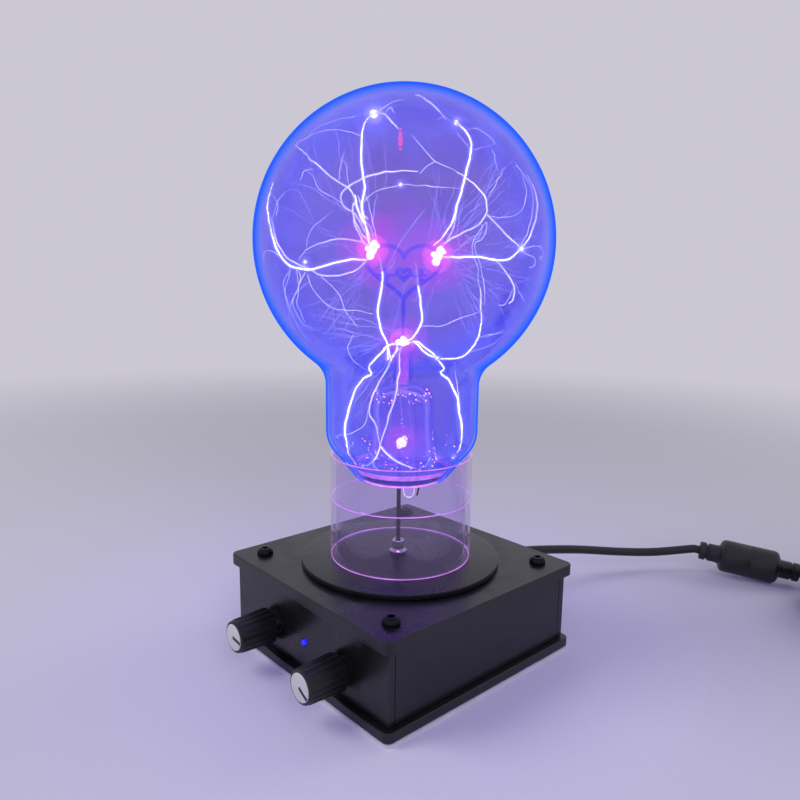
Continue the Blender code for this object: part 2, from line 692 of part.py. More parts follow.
def build_heart():
    """Flat heart-shaped electrode on its support wire, turned to face the viewer."""
    foot_z = MOUTH_Z + HEART_FOOT_HEIGHT
    inner = heart_outline(HEART_WIDTH - 2 * HEART_BAND, HEART_HEIGHT - 2 * HEART_BAND, HEART_BAND)
    heart = flat_outline(
        "heart_electrode", "electrode_steel", [heart_outline(HEART_WIDTH, HEART_HEIGHT, 0), inner], HEART_THICK)
    stand = Matrix.Rotation(VIEW_AZIMUTH, 4, "Z") @ Matrix.Rotation(math.pi / 2, 4, "X")
    heart.matrix_world = Matrix.Translation((0, 0, foot_z)) @ stand
    base_z = MOUTH_Z + PINCH_TOP_HEIGHT + SEAT_GAP
    cylinder(
        "support_wire", "lead_metal", SUPPORT_WIRE_RADIUS, foot_z - SEAT_GAP - base_z, (0, 0, base_z), sides=10)


def build_control(label, x, pointer_angle):
    """One potentiometer with its nut, shaft, ribbed knob and pale cap."""
    back = -WALL_IN + SEAT_GAP
    pot_profile = [
        (0, POT_DEPTH), (POT_RADIUS, POT_DEPTH), (POT_RADIUS, 0), (BUSH_RADIUS, 0),
        (BUSH_RADIUS, -BUSH_LENGTH), (SHAFT_RADIUS + SEAT_GAP, -BUSH_LENGTH),
        (SHAFT_RADIUS + SEAT_GAP, SHAFT_IN_POT + SEAT_GAP), (0, SHAFT_IN_POT + SEAT_GAP)]
    turned("pot_" + label, "aluminium", pot_profile, (x, back, CONTROL_Z), (0, 1, 0), 32)
    nut_start = -WALL_OUT - SEAT_GAP
    nut = cylinder(
        "pot_nut_" + label, "nickel", POT_NUT_RADIUS, POT_NUT_THICK, (x, nut_start, CONTROL_Z), (0, -1, 0), 6)
    cut(nut, cylinder(
        "nut_bore_" + label, None, BUSH_RADIUS + SEAT_GAP, POT_NUT_THICK + 2 * CUT_OVER,
        (x, nut_start + CUT_OVER, CONTROL_Z), (0, -1, 0), 24))
    knob_back = -WALL_OUT - KNOB_LIFT
    shaft_back = back + SHAFT_IN_POT
    shaft_front = knob_back - KNOB_BACK_RECESS - SHAFT_IN_KNOB
    cylinder(
        "pot_shaft_" + label, "nickel", SHAFT_RADIUS, shaft_back - shaft_front,
        (x, shaft_back, CONTROL_Z), (0, -1, 0), 24)
    build_knob(label, x, knob_back, pointer_angle)


def ribbed_outline():
    """Round outline with raised ribs, for the knob's back edge."""
    points = []
    for index in range(KNOB_RIBS * 4):
        angle = math.tau * index / (KNOB_RIBS * 4)
        radius = KNOB_RADIUS if index % 4 < 2 else KNOB_RADIUS - KNOB_RIB_DEPTH
        points.append((radius * math.cos(angle), radius * math.sin(angle)))
    return points


def build_knob(label, x, back, pointer_angle):
    """Ribbed knob that narrows to its face, with the cap and its pointer groove."""
    knob = flat_outline("knob_" + label, "knob_plastic", [ribbed_outline()], KNOB_LENGTH)
    knob = to_mesh(knob, "knob_plastic")
    narrow = KNOB_FACE_RADIUS / KNOB_RADIUS
    for vertex in knob.data.vertices:
        if vertex.co.z > 0:
            vertex.co.x *= narrow
            vertex.co.y *= narrow
    aim(knob, (x, back - KNOB_LENGTH / 2, CONTROL_Z), (0, -1, 0))
    outward = (0, -1, 0)
    cut(knob, cylinder(
        "knob_recess_" + label, None, POT_NUT_RADIUS + SEAT_GAP, KNOB_BACK_RECESS + CUT_OVER,
        (x, back + CUT_OVER, CONTROL_Z), outward, 24))
    cut(knob, cylinder(
        "knob_bore_" + label, None, SHAFT_RADIUS + SEAT_GAP, KNOB_BACK_RECESS + SHAFT_IN_KNOB + SEAT_GAP + CUT_OVER,
        (x, back + CUT_OVER, CONTROL_Z), outward, 24))
    face = back - KNOB_LENGTH
    cut(knob, cylinder(
        "cap_recess_" + label, None, CAP_RADIUS + SEAT_GAP, CAP_RECESS + CUT_OVER,
        (x, face + CAP_RECESS, CONTROL_Z), outward, 32))
    cap_back = face + CAP_RECESS - SEAT_GAP
    cap = cylinder(
        "knob_cap_" + label, "pale_plastic", CAP_RADIUS, CAP_THICK, (x, cap_back, CONTROL_Z), outward, 32)
    groove = block(
        "pointer_cut_" + label, None, (-POINTER_WIDTH / 2, -CUT_OVER, 0),
        (POINTER_WIDTH / 2, POINTER_DEPTH, CAP_RADIUS + CUT_OVER))
    groove_middle = groove.location.copy()
    groove.matrix_world = (
        Matrix.Translation((x, cap_back - CAP_THICK, CONTROL_Z)) @ Matrix.Rotation(pointer_angle, 4, "Y")
        @ Matrix.Translation(groove_middle))
    cut(cap, groove)


def build_led():
    """Blue indicator between the knobs, held by its flange behind the panel."""
    back = -WALL_IN + SEAT_GAP
    dome = [(0, LED_BODY)] + arc((0, LED_BODY - LED_RADIUS), LED_RADIUS, math.pi / 2, 0, 4)[1:]
    turned(
        "indicator_led", "blue_lens",
        dome + [(LED_RADIUS, 0), (LED_FLANGE_RADIUS, 0), (LED_FLANGE_RADIUS, -LED_FLANGE_THICK),
                (0, -LED_FLANGE_THICK)],
        (0, back, LED_HEIGHT), (0, -1, 0), 16)


def build_socket():
    """DC socket in the rear panel, with its nut outside."""
    back = WALL_IN - SEAT_GAP
    bore_floor = SOCKET_BARREL_LENGTH - SOCKET_BORE_DEPTH
    turned(
        "dc_socket", "dark_epoxy",
        [(0, bore_floor), (SOCKET_BORE_RADIUS, bore_floor), (SOCKET_BORE_RADIUS, SOCKET_BARREL_LENGTH),
         (SOCKET_BARREL_RADIUS, SOCKET_BARREL_LENGTH), (SOCKET_BARREL_RADIUS, 0), (SOCKET_BODY_RADIUS, 0),
         (SOCKET_BODY_RADIUS, -SOCKET_BODY_LENGTH), (0, -SOCKET_BODY_LENGTH)],
        (0, back, SOCKET_HEIGHT), (0, 1, 0), 24)
    nut_start = WALL_OUT + SEAT_GAP
    nut = cylinder(
        "socket_nut", "nickel", SOCKET_NUT_RADIUS, SOCKET_NUT_THICK, (0, nut_start, SOCKET_HEIGHT), (0, 1, 0), 6)
    cut(nut, cylinder(
        "socket_nut_bore", None, SOCKET_BARREL_RADIUS + SEAT_GAP, SOCKET_NUT_THICK + 2 * CUT_OVER,
        (0, nut_start - CUT_OVER, SOCKET_HEIGHT), (0, 1, 0), 24))


def build_circuit():
    """Circuit board with the high-frequency transformer, transistor, heatsink and capacitors."""
    block(
        "circuit_board", "circuit_green", (-BOARD_HALF_WIDTH, -BOARD_FRONT, BOARD_Z),
        (BOARD_HALF_WIDTH, BOARD_REAR, BOARD_TOP_Z))
    core = block(
        "transformer_core", "ferrite", (-CORE_WIDTH / 2, -CORE_DEPTH / 2, PART_Z),
        (CORE_WIDTH / 2, CORE_DEPTH / 2, PART_Z + CORE_HEIGHT))
    window_z = PART_Z + CORE_YOKE
    window_top = PART_Z + CORE_HEIGHT - CORE_YOKE
    for label, sign in (("left", -1), ("right", 1)):
        near, far = sorted((sign * CORE_LEG, sign * (CORE_WIDTH / 2 - CORE_LEG)))
        cut(core, block(
            "core_window_" + label, None, (near, -CORE_DEPTH, window_z), (far, CORE_DEPTH, window_top)))
    level = window_z + SEAT_GAP
    for name, height in (("primary_winding", PRIMARY_HEIGHT), ("secondary_winding", SECONDARY_HEIGHT)):
        turned(
            name, "enamelled_copper",
            [(WINDING_RADIUS, height), (WINDING_RADIUS, 0), (WINDING_INNER_RADIUS, 0),
             (WINDING_INNER_RADIUS, height)],
            (0, 0, level), steps=28, loop=True)
        level += height + SEAT_GAP
    build_hv_lead(level - SEAT_GAP)
    build_heatsink()
    for index in range(2):
        cylinder(
            "capacitor_" + str(index + 1), "capacitor_sleeve", CAPACITOR_RADIUS, CAPACITOR_HEIGHT,
            (CAPACITOR_PLACE[0] + CAPACITOR_PITCH * index, CAPACITOR_PLACE[1], PART_Z), sides=20)


def build_hv_lead(winding_top):
    """Wire from the secondary winding up to the terminal's stud under the lid."""
    stud = terminal_point(TOP_PLATE_Z - TERMINAL_STUD_END)
    out = WINDING_RADIUS + HV_LEAD_RADIUS + SEAT_GAP
    rise = stud.z - winding_top
    meet_z = stud.z + HV_LEAD_RADIUS
    near = stud.y + TERMINAL_STUD_RADIUS + SEAT_GAP
    route = [
        (0, out, winding_top - SECONDARY_HEIGHT / 2), (0, out, winding_top), (0, out - rise / 4, meet_z - rise / 3),
        (stud.x / 2, (out + near) / 2, meet_z), (stud.x, near + HV_LEAD_RADIUS, meet_z), (stud.x, near, meet_z)]
    wire("hv_lead", "red_wire", smooth_path(route, 2 * HV_LEAD_RADIUS), HV_LEAD_RADIUS)


def build_heatsink():
    """Finned heatsink with the power transistor clamped to its flat side."""
    x, y = HEATSINK_CORNER
    sink = block(
        "heatsink", "aluminium", (x, y, PART_Z), (x + HEATSINK_WIDTH, y + HEATSINK_DEPTH, PART_Z + HEATSINK_HEIGHT))
    slot = (HEATSINK_WIDTH - FIN_COUNT * FIN_THICK) / (FIN_COUNT - 1)
    for index in range(FIN_COUNT - 1):
        start = x + FIN_THICK + index * (FIN_THICK + slot)
        cut(sink, block(
            "fin_slot_" + str(index + 1), None, (start, y + HEATSINK_BASE, PART_Z - CUT_OVER),
            (start + slot, y + HEATSINK_DEPTH + CUT_OVER, PART_Z + HEATSINK_HEIGHT + CUT_OVER)))
    middle = x + HEATSINK_WIDTH / 2
    block(
        "power_transistor", "dark_epoxy",
        (middle - TRANSISTOR_WIDTH / 2, y - SEAT_GAP - TRANSISTOR_DEPTH, PART_Z),
        (middle + TRANSISTOR_WIDTH / 2, y - SEAT_GAP, PART_Z + TRANSISTOR_HEIGHT))


def build_plug():
    """Moulded DC plug with its barrel in the socket, returning where its lead starts."""
    start = WALL_IN - SEAT_GAP + SOCKET_BARREL_LENGTH + SEAT_GAP
    relief_end = PLUG_GRIP_LENGTH + PLUG_RELIEF_LENGTH
    turned(
        "dc_plug", "black_rubber",
        [(0, relief_end), (PLUG_RELIEF_RADIUS, relief_end),
         (PLUG_RELIEF_RADIUS * PLUG_RELIEF_ROOT_SHARE, PLUG_GRIP_LENGTH),
         (PLUG_GRIP_RADIUS * PLUG_CHAMFER_SHARES[0], PLUG_GRIP_LENGTH),
         (PLUG_GRIP_RADIUS, PLUG_GRIP_LENGTH * PLUG_CHAMFER_SHARES[1]),
         (PLUG_GRIP_RADIUS, 0), (PLUG_BARREL_RADIUS, 0), (PLUG_BARREL_RADIUS, -PLUG_BARREL_LENGTH),
         (0, -PLUG_BARREL_LENGTH)],
        (0, start, SOCKET_HEIGHT), (0, 1, 0), 20)
    return Vector((0, start + relief_end + SEAT_GAP, SOCKET_HEIGHT))


def build_choke():
    """Moulded ferrite choke, one end on the table, returning both lead ends and its direction."""
    level = math.cos(CHOKE_TILT)
    direction = Vector((level * math.cos(CHOKE_TURN), level * math.sin(CHOKE_TURN), -math.sin(CHOKE_TILT)))
    half = CHOKE_LENGTH / 2
    middle = Vector((*CHOKE_CENTRE, FLOOR_GAP + CHOKE_RADIUS * level + half * math.sin(CHOKE_TILT)))
    neck_end = half + CHOKE_NECK_LENGTH
    groove_top = neck_end - CHOKE_COLLAR
    groove_low = groove_top - CHOKE_GROOVE
    upper = [
        (0, neck_end), (CHOKE_NECK_RADIUS, neck_end), (CHOKE_NECK_RADIUS, groove_top),
        (CHOKE_NECK_RADIUS - CHOKE_GROOVE, groove_top), (CHOKE_NECK_RADIUS - CHOKE_GROOVE, groove_low),
        (CHOKE_NECK_RADIUS, groove_low), (CHOKE_NECK_RADIUS, half), (CHOKE_RADIUS - CHOKE_EDGE, half)]
    upper += arc((CHOKE_RADIUS - CHOKE_EDGE, half - CHOKE_EDGE), CHOKE_EDGE, math.pi / 2, 0, 3)[1:]
    profile = upper + [(radius, -height) for radius, height in reversed(upper)]
    turned("ferrite_choke", "black_rubber", profile, middle, direction, 20)
    reach = direction * (neck_end + SEAT_GAP)
    return middle - reach, middle + reach, direction


def coil_points():
    """Centreline of the put-away lead: a piled coil that spirals in and out, layer by layer."""
    turns = COIL_LAYERS * COIL_TURNS_PER_LAYER
    count = turns * COIL_POINTS_PER_TURN
    points = []
    for index in range(count + 1):
        turn = index / COIL_POINTS_PER_TURN
        phase = turn % (2 * COIL_TURNS_PER_LAYER)
        inward = min(phase, 2 * COIL_TURNS_PER_LAYER - phase)
        radius = COIL_RADIUS - COIL_PITCH * inward
        level = 0
        for layer in range(1, COIL_LAYERS):
            share = (turn - layer * COIL_TURNS_PER_LAYER + COIL_CLIMB_SHARE) / (2 * COIL_CLIMB_SHARE)
            share = min(1, max(0, share))
            level += share * share * (3 - 2 * share)
        angle = math.pi / 2 - math.tau * turn
        points.append(Vector((
            COIL_CENTRE[0] + radius * math.cos(angle), COIL_CENTRE[1] + radius * math.sin(angle),
            COIL_Z + COIL_LAYER_STEP * level)))
    ahead = Vector((LEAD_DIAMETER, 0, 0))
    return [points[0] - ahead] + points + [points[-1] + ahead]


def least_gap(points):
    """Smallest clear distance between parts of a tube that lie more than half a turn apart."""
    apart = COIL_POINTS_PER_TURN // 2
    nearest = min(
        (points[a] - points[b]).length for a in range(len(points)) for b in range(a + apart, len(points)))
    return nearest - LEAD_DIAMETER


def build_tie(points):
    """Flat band round the bundle of turns, on the side away from the lead's entry."""
    span = COIL_PITCH * COIL_TURNS_PER_LAYER
    stack = COIL_LAYER_STEP * (COIL_LAYERS - 1)
    middle_radius = COIL_RADIUS - span / 2
    half_across = span / 2 + LEAD_RADIUS + SEAT_GAP * 2
    half_up = stack / 2 + LEAD_RADIUS + SEAT_GAP
    centre = Vector((COIL_CENTRE[0], COIL_CENTRE[1] - middle_radius, COIL_Z + stack / 2))
    band = block(
        "coil_tie", "black_rubber", (-TIE_WIDTH / 2, -half_across - TIE_THICK, -half_up - TIE_THICK),
        (TIE_WIDTH / 2, half_across + TIE_THICK, half_up + TIE_THICK))
    band.location = centre
    hollow = block(
        "tie_hollow", None, (-TIE_WIDTH, -half_across, -half_up), (TIE_WIDTH, half_across, half_up))
    hollow.location = centre
    return cut(band, hollow)


def build_adapter():
    """Plug-top mains adapter at the far end, lying on its side, returning where its lead starts."""
    x, y = ADAPTER_START
    middle_z = ADAPTER_HEIGHT / 2 + FLOOR_GAP
    body = block(
        "mains_adapter", "knob_plastic", (x, y - ADAPTER_WIDTH / 2, FLOOR_GAP),
        (x + ADAPTER_LENGTH, y + ADAPTER_WIDTH / 2, FLOOR_GAP + ADAPTER_HEIGHT), 0, ADAPTER_EDGE)
    blade_root = x + ADAPTER_LENGTH - BLADE_ROOT
    for index, sign in enumerate((-1, 1)):
        middle_y = y + sign * BLADE_SPACING / 2
        cut(body, block(
            "blade_slot_" + str(index + 1), None,
            (blade_root - SEAT_GAP, middle_y - BLADE_THICK / 2 - SEAT_GAP, middle_z - BLADE_WIDTH / 2 - SEAT_GAP),
            (x + ADAPTER_LENGTH + CUT_OVER, middle_y + BLADE_THICK / 2 + SEAT_GAP,
             middle_z + BLADE_WIDTH / 2 + SEAT_GAP)))
        block(
            "adapter_blade_" + str(index + 1), "nickel",
            (blade_root, middle_y - BLADE_THICK / 2, middle_z - BLADE_WIDTH / 2),
            (x + ADAPTER_LENGTH + BLADE_LENGTH, middle_y + BLADE_THICK / 2, middle_z + BLADE_WIDTH / 2))
    turned(
        "adapter_relief", "black_rubber",
        [(0, ADAPTER_RELIEF_LENGTH), (ADAPTER_RELIEF_RADIUS, ADAPTER_RELIEF_LENGTH),
         (ADAPTER_RELIEF_ROOT_RADIUS, 0), (0, 0)],
        (x - SEAT_GAP, y, middle_z), (-1, 0, 0), 16)
    return Vector((x - 2 * SEAT_GAP - ADAPTER_RELIEF_LENGTH, y, middle_z))


def build_lead():
    """The whole power lead: plug, free stretches, choke, coil, tie and adapter."""
    plug_end = build_plug()
    choke_in, choke_out, direction = build_choke()
    spacing = 2.5 * LEAD_DIAMETER
    straight = direction * LEAD_DIAMETER
    first = [plug_end, plug_end + Vector((0, LEAD_DIAMETER, 0)), *LEAD_ROUTE, choke_in - straight, choke_in]
    first_points = smooth_path(first, spacing)
    wire("power_lead", "black_rubber", first_points, LEAD_RADIUS)
    turns = coil_points()
    coil_start = turns[0] - Vector((SEAT_GAP, 0, 0))
    ahead = Vector((LEAD_DIAMETER, 0, 0))
    second = [choke_out, choke_out + straight, *COIL_ENTRY_ROUTE, coil_start - ahead, coil_start]
    second_points = smooth_path(second, spacing)
    wire("lead_to_coil", "black_rubber", second_points, LEAD_RADIUS)
    wire("lead_coil", "black_rubber", turns, LEAD_RADIUS, resolution=1)
    build_tie(turns)
    adapter_end = build_adapter()
    tail_start = turns[-1] + Vector((SEAT_GAP, 0, 0))
    third = [tail_start, tail_start + ahead, *TAIL_ROUTE, adapter_end - ahead, adapter_end]
    third_points = smooth_path(third, spacing)
    wire("adapter_lead", "black_rubber", third_points, LEAD_RADIUS)
    lengths = [path_length(points) for points in (first_points, second_points, turns, third_points)]
    print("lead lengths in mm:", [round(length / MM, 1) for length in lengths], "in all", round(sum(lengths) / MM))
    print("least gap of the coil to itself in mm:", round(least_gap(turns) / MM, 2))


clear_scene()
PARTS = new_collection("desktop_resonant_transformer")
CUTTERS = new_collection("cutters")
build_box()
build_fasteners()
build_tube()
build_terminal()
build_bulb()
build_control("left", -KNOB_SPACING / 2, LEFT_POINTER_ANGLE)
build_control("right", KNOB_SPACING / 2, RIGHT_POINTER_ANGLE)
build_led()
build_socket()
build_circuit()
build_lead()
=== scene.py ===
"""Looks of a desktop resonant transformer: a driver box, a clear tube on its lid and a discharge bulb."""

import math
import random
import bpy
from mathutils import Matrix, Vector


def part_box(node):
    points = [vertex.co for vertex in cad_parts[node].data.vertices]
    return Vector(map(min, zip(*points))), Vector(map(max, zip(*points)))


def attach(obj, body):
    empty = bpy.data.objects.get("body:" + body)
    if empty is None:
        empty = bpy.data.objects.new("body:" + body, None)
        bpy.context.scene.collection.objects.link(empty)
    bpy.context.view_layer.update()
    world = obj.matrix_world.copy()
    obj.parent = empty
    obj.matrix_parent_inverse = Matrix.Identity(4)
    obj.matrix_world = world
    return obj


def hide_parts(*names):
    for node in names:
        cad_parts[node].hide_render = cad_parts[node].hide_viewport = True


bl_info = {
    "name": "Desktop Resonant Transformer",
    "version": (1, 0, 0),
    "blender": (4, 5, 0),
    "location": "3D View > Sidebar > Transformer",
    "description": "Dresses the packed transformer with its bulb, discharge, tube, controls and power lead",
    "category": "Object",
}

import bmesh
import bpy
from bpy.props import FloatProperty, FloatVectorProperty, IntProperty, PointerProperty
from bpy.types import Operator, Panel, PropertyGroup
from mathutils import Matrix, Vector

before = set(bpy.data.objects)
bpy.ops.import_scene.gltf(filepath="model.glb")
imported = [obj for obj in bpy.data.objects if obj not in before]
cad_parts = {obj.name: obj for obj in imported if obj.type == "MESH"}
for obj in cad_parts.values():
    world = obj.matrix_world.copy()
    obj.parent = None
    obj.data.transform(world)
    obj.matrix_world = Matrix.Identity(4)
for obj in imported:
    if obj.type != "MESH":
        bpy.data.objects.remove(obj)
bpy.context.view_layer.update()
MM = 0.001

# Photograph's camera
PICTURE_SIDE = 800
FOCAL_PIXELS = 716.7
SENSOR_WIDTH = 36
CAMERA_PLACE = Vector((0.2189, -0.1989, 0.1618))
CAMERA_FORWARD = Vector((-0.7306, 0.6599, -0.1752)).normalized()
CAMERA_ROLL = math.radians(0.73)
LEVEL_RIGHT = CAMERA_FORWARD.cross(Vector((0, 0, 1))).normalized()
LEVEL_UP = LEVEL_RIGHT.cross(CAMERA_FORWARD)
IMAGE_RIGHT = LEVEL_RIGHT * math.cos(CAMERA_ROLL) + LEVEL_UP * math.sin(CAMERA_ROLL)
IMAGE_UP = LEVEL_UP * math.cos(CAMERA_ROLL) - LEVEL_RIGHT * math.sin(CAMERA_ROLL)
VIEW_AZIMUTH = math.radians(48)
SIDEWAYS = Vector((math.cos(VIEW_AZIMUTH), math.sin(VIEW_AZIMUTH), 0))
TOWARD = Vector((math.sin(VIEW_AZIMUTH), -math.cos(VIEW_AZIMUTH), 0))

# Levels and sizes that the solids share
TUBE_LOW_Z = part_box("tube_lower")[0].z
JOINT_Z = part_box("tube_upper")[0].z
RIM_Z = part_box("tube_upper")[1].z
DISC_TOP_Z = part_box("top_disc")[1].z
MOUTH_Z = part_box("bulb_glass")[0].z
GLOBE_RADIUS = 60 * MM
GLOBE_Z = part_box("bulb_glass")[1].z - GLOBE_RADIUS
NECK_RADIUS = 31.8 * MM
NECK_FILLET = 12 * MM
NECK_FOOT_Z = RIM_Z + 10.2 * MM
SHOULDER_REACH = 5.8 * MM
SEAT_RADIUS = 27.4 * MM
FOOT_RADIUS = 20.6 * MM
FOOT_Z = RIM_Z - 8.6 * MM
MOUTH_RADIUS = 18.8 * MM
FLARE_RADIUS = 17.3 * MM
WAIST_RADIUS = 12 * MM
FLARE_GLASS = 1.1 * MM
FLARE_SHOULDER_Z = MOUTH_Z + 29 * MM
FLARE_TOP_Z = MOUTH_Z + 36.6 * MM
PINCH_RADIUS = 2.7 * MM
PINCH_TOP_Z = MOUTH_Z + 58.4 * MM
HEART_FOOT_Z = MOUTH_Z + 74.3 * MM
ROD_TOP = Vector((*(SIDEWAYS * (-0.9 * MM)).xy, MOUTH_Z + 14 * MM))
SOCKET_Z = 20 * MM
ADAPTER_AXIS = (211 * MM, 13.6 * MM)
CHOKE_REACH = 25.3 * MM
GRIP_GAP = 0.3 * MM


def tone(code):
    """Linear colour for an sRGB hex code such as #20242A."""
    parts = [int(code[i:i + 2], 16) / 255 for i in (1, 3, 5)]
    return tuple(c / 12.92 if c <= 0.04045 else ((c + 0.055) / 1.055) ** 2.4 for c in parts)


def length_setting(name, description, millimetres, least=0):
    """A length that is given in millimetres."""
    return FloatProperty(
        name=name, description=description, default=millimetres * MM, min=least * MM, unit="LENGTH")


def colour_setting(name, description, code):
    """A colour that is given as an sRGB hex code."""
    return FloatVectorProperty(name=name, description=description, subtype="COLOR", default=tone(code))


def angle_setting(name, description, degrees):
    """An angle that is given in degrees."""
    return FloatProperty(name=name, description=description, default=math.radians(degrees), subtype="ANGLE")


class TRANSFORMER_PG_bulb(PropertyGroup):
    glass_thickness: length_setting("Glass thickness", "Wall of the blown bulb", 1.2, 0.5)
    filament_width: length_setting("Discharge width", "Radius of the brightest discharge threads", 0.3, 0.1)
    filament_wander: length_setting("Discharge wander", "How far a thread strays from its smooth path", 0.5)
    wisps: IntProperty(name="Wisps", description="Number of faint side threads", default=110, min=0)
    seed: IntProperty(
        name="Seed", description="Changes the faint threads and the stray of all threads", default=7)
    gas_deep: colour_setting("Deep gas", "Glow where the gas is thin", "#5826C8")
    gas_haze: colour_setting("Hazy gas", "Glow where the gas is dense", "#3C44FF")
    # painted blue glow along the bulb's edge
    rim: colour_setting("Rim", "Colour of the painted glow at the glass edge", "#0A58FF")


class TRANSFORMER_PG_controls(PropertyGroup):
    knob_radius: length_setting("Knob radius", "Radius over the ribs at the panel", 7.5)
    knob_face_radius: length_setting("Face radius", "Radius at the knob's face", 6.7)
    knob_length: length_setting("Knob length", "Length of the knob along its shaft", 17)
    ribs: IntProperty(name="Ribs", description="Number of grip ribs round the knob", default=18, min=6)
    left_pointer: angle_setting("Left pointer", "Clockwise from the top", 97)
    right_pointer: angle_setting("Right pointer", "Clockwise from the top", 120)


class TRANSFORMER_PG_lead(PropertyGroup):
    diameter: length_setting("Diameter", "Outside of the power lead", 4.5)
    spacing: length_setting("Point spacing", "Distance between points along the lead", 3)
    sheath: colour_setting("Sheath", "Colour of the lead", "#151518")


class TRANSFORMER_PG_case(PropertyGroup):
    acrylic: colour_setting("Acrylic", "Colour of the box", "#0D0D10")
    foam: colour_setting("Foam", "Colour of the mat under the box", "#C6C8CE")
    edge_light: colour_setting("Edge light", "Light in the cut edges of the clear tube", "#C968E8")


class TRANSFORMER_PG_stage(PropertyGroup):
    floor: colour_setting("Floor", "Colour of the floor and the backdrop", "#CBC8D4")
    key: FloatProperty(name="Key light", description="Power of the largest lamp in watts", default=7, min=0)
    glow: FloatProperty(
        name="Bulb light", description="Power of the bulb's own light in watts", default=0.5, min=0)


def add(tree, kind, sockets=None, **settings):
    """Add a node with its settings, and fill its sockets with values or with other nodes' outputs."""
    node = tree.nodes.new(kind)
    for name, value in settings.items():
        setattr(node, name, value)
    for key, value in (sockets or {}).items():
        if isinstance(value, bpy.types.Node):
            value = value.outputs[0]
        if isinstance(value, bpy.types.NodeSocket):
            tree.links.new(value, node.inputs[key])
        else:
            if node.inputs[key].type == "RGBA" and len(value) == 3:
                value = (*value, 1)
            node.inputs[key].default_value = value
    return node


def shader_tree(name):
    """A new material with an empty node tree, and that tree's object coordinates."""
    material = bpy.data.materials.new(name)
    material.use_nodes = True
    tree = material.node_tree
    tree.nodes.clear()
    return material, tree, add(tree, "ShaderNodeTexCoord").outputs["Object"]


def surface(tree, shader):
    """Send a shader to the material's output."""
    add(tree, "ShaderNodeOutputMaterial", {"Surface": shader})


def calc(tree, operation, *values, clamp=False):
    """A sum on one to three values."""
    return add(tree, "ShaderNodeMath", dict(enumerate(values)), operation=operation, use_clamp=clamp)


def ramp(tree, value, start, end, low=0, high=1, smooth=False):
    """The range from start to end spread over low to high, and held beyond both ends."""
    return add(tree, "ShaderNodeMapRange", {
        "Value": value, "From Min": start, "From Max": end, "To Min": low, "To Max": high},
        interpolation_type="SMOOTHSTEP" if smooth else "LINEAR")


def noise(tree, where, size, detail=2, **more):
    """Noise with features of about a given size."""
    more = {key.capitalize(): value for key, value in more.items()}
    return add(tree, "ShaderNodeTexNoise", {"Vector": where, "Scale": 1 / size, "Detail": detail, **more})


def bump(tree, height, distance, strength):
    """Relief of a given depth."""
    return add(tree, "ShaderNodeBump", {"Height": height, "Distance": distance, "Strength": strength})


def tinted(tree, share, first, second):
    """A colour between two others."""
    return add(tree, "ShaderNodeMix", {0: share, 6: first, 7: second}, data_type="RGBA").outputs[2]


def light(tree, colour, strength):
    """Plain light of one colour."""
    return add(tree, "ShaderNodeEmission", {"Color": colour, "Strength": strength})


def over(tree, share, first, second):
    """The second shader laid over the first by a share."""
    return add(tree, "ShaderNodeMixShader", {0: share, 1: first, 2: second})


def clear(tree, colour=(1, 1, 1)):
    """Nothing but what is behind."""
    return add(tree, "ShaderNodeBsdfTransparent", {"Color": colour})


def principled(tree, colour, roughness, relief, **more):
    """Send an everyday surface to the material's output. More sockets are named with underscores."""
    sockets = {"Base Color": colour, "Roughness": roughness, "Normal": relief}
    sockets.update({key.replace("_", " "): value for key, value in more.items()})
    surface(tree, add(tree, "ShaderNodeBsdfPrincipled", sockets))


def facing_share(tree):
    """0 where the surface faces the eye and 1 where it is seen edge on."""
    return add(tree, "ShaderNodeLayerWeight", {"Blend": 0.5}).outputs["Facing"]


def scaled(tree, vector, factor):
    """A vector or a colour times a number."""
    return add(tree, "ShaderNodeVectorMath", {0: vector, "Scale": factor}, operation="SCALE")


def solid_finish(name, colour, roughness, metallic=0, grain=0.4, relief=0.02, mottle=0.2, stretch=(1, 1, 1),
                 coat=0):
    """Opaque material with a fine grain in its relief and broad, faint changes of shade and gloss."""
    material, tree, where = shader_tree(name)
    along = add(tree, "ShaderNodeMapping", {"Vector": where, "Scale": stretch})
    fine = noise(tree, along, grain * MM, 3, roughness=0.6)
    broad = noise(tree, where, 14 * MM, 4)
    shade = ramp(tree, broad, 0.3, 0.7, 1 - mottle, 1 + mottle)
    tint = scaled(tree, colour, shade)
    gloss = ramp(tree, broad, 0.3, 0.7, roughness * 1.2, roughness * 0.85)
    more = {"Metallic": metallic}
    if not metallic:
        more["IOR"] = 1.5
    if coat:
        more["Coat_Weight"] = coat
        more["Coat_Roughness"] = 0.15
    principled(tree, tint, gloss, bump(tree, fine, relief * MM, 0.6), **more)
    return material


def satin_acrylic(colour):
    """Laser-cut cast acrylic sheet: deep black with a satin sheen, wiping marks and hairline scratches."""
    material, tree, where = shader_tree("satin black acrylic")
    smear = noise(tree, where, 22 * MM, 5, distortion=1.2)
    lean = add(tree, "ShaderNodeMapping", {
        "Vector": where, "Rotation": (0, 0, math.radians(31)), "Scale": (1, 14, 1)})
    hairline = ramp(tree, noise(tree, lean, 9 * MM), 0.69, 0.74)
    dust = add(tree, "ShaderNodeTexVoronoi", {"Vector": where, "Scale": 1 / (5 * MM)})
    speck = ramp(tree, dust, 0.035, 0.06, 0.5, 0)
    gloss = ramp(tree, smear, 0.3, 0.7, 0.2, 0.38)
    rough = calc(tree, "ADD", gloss, calc(tree, "MULTIPLY", hairline, 0.12))
    relief = bump(tree, noise(tree, where, 0.5 * MM), 0.004 * MM, 0.5)
    principled(tree, tinted(tree, speck, colour, tone("#5A5A64")), rough, relief, IOR=1.49)
    return material


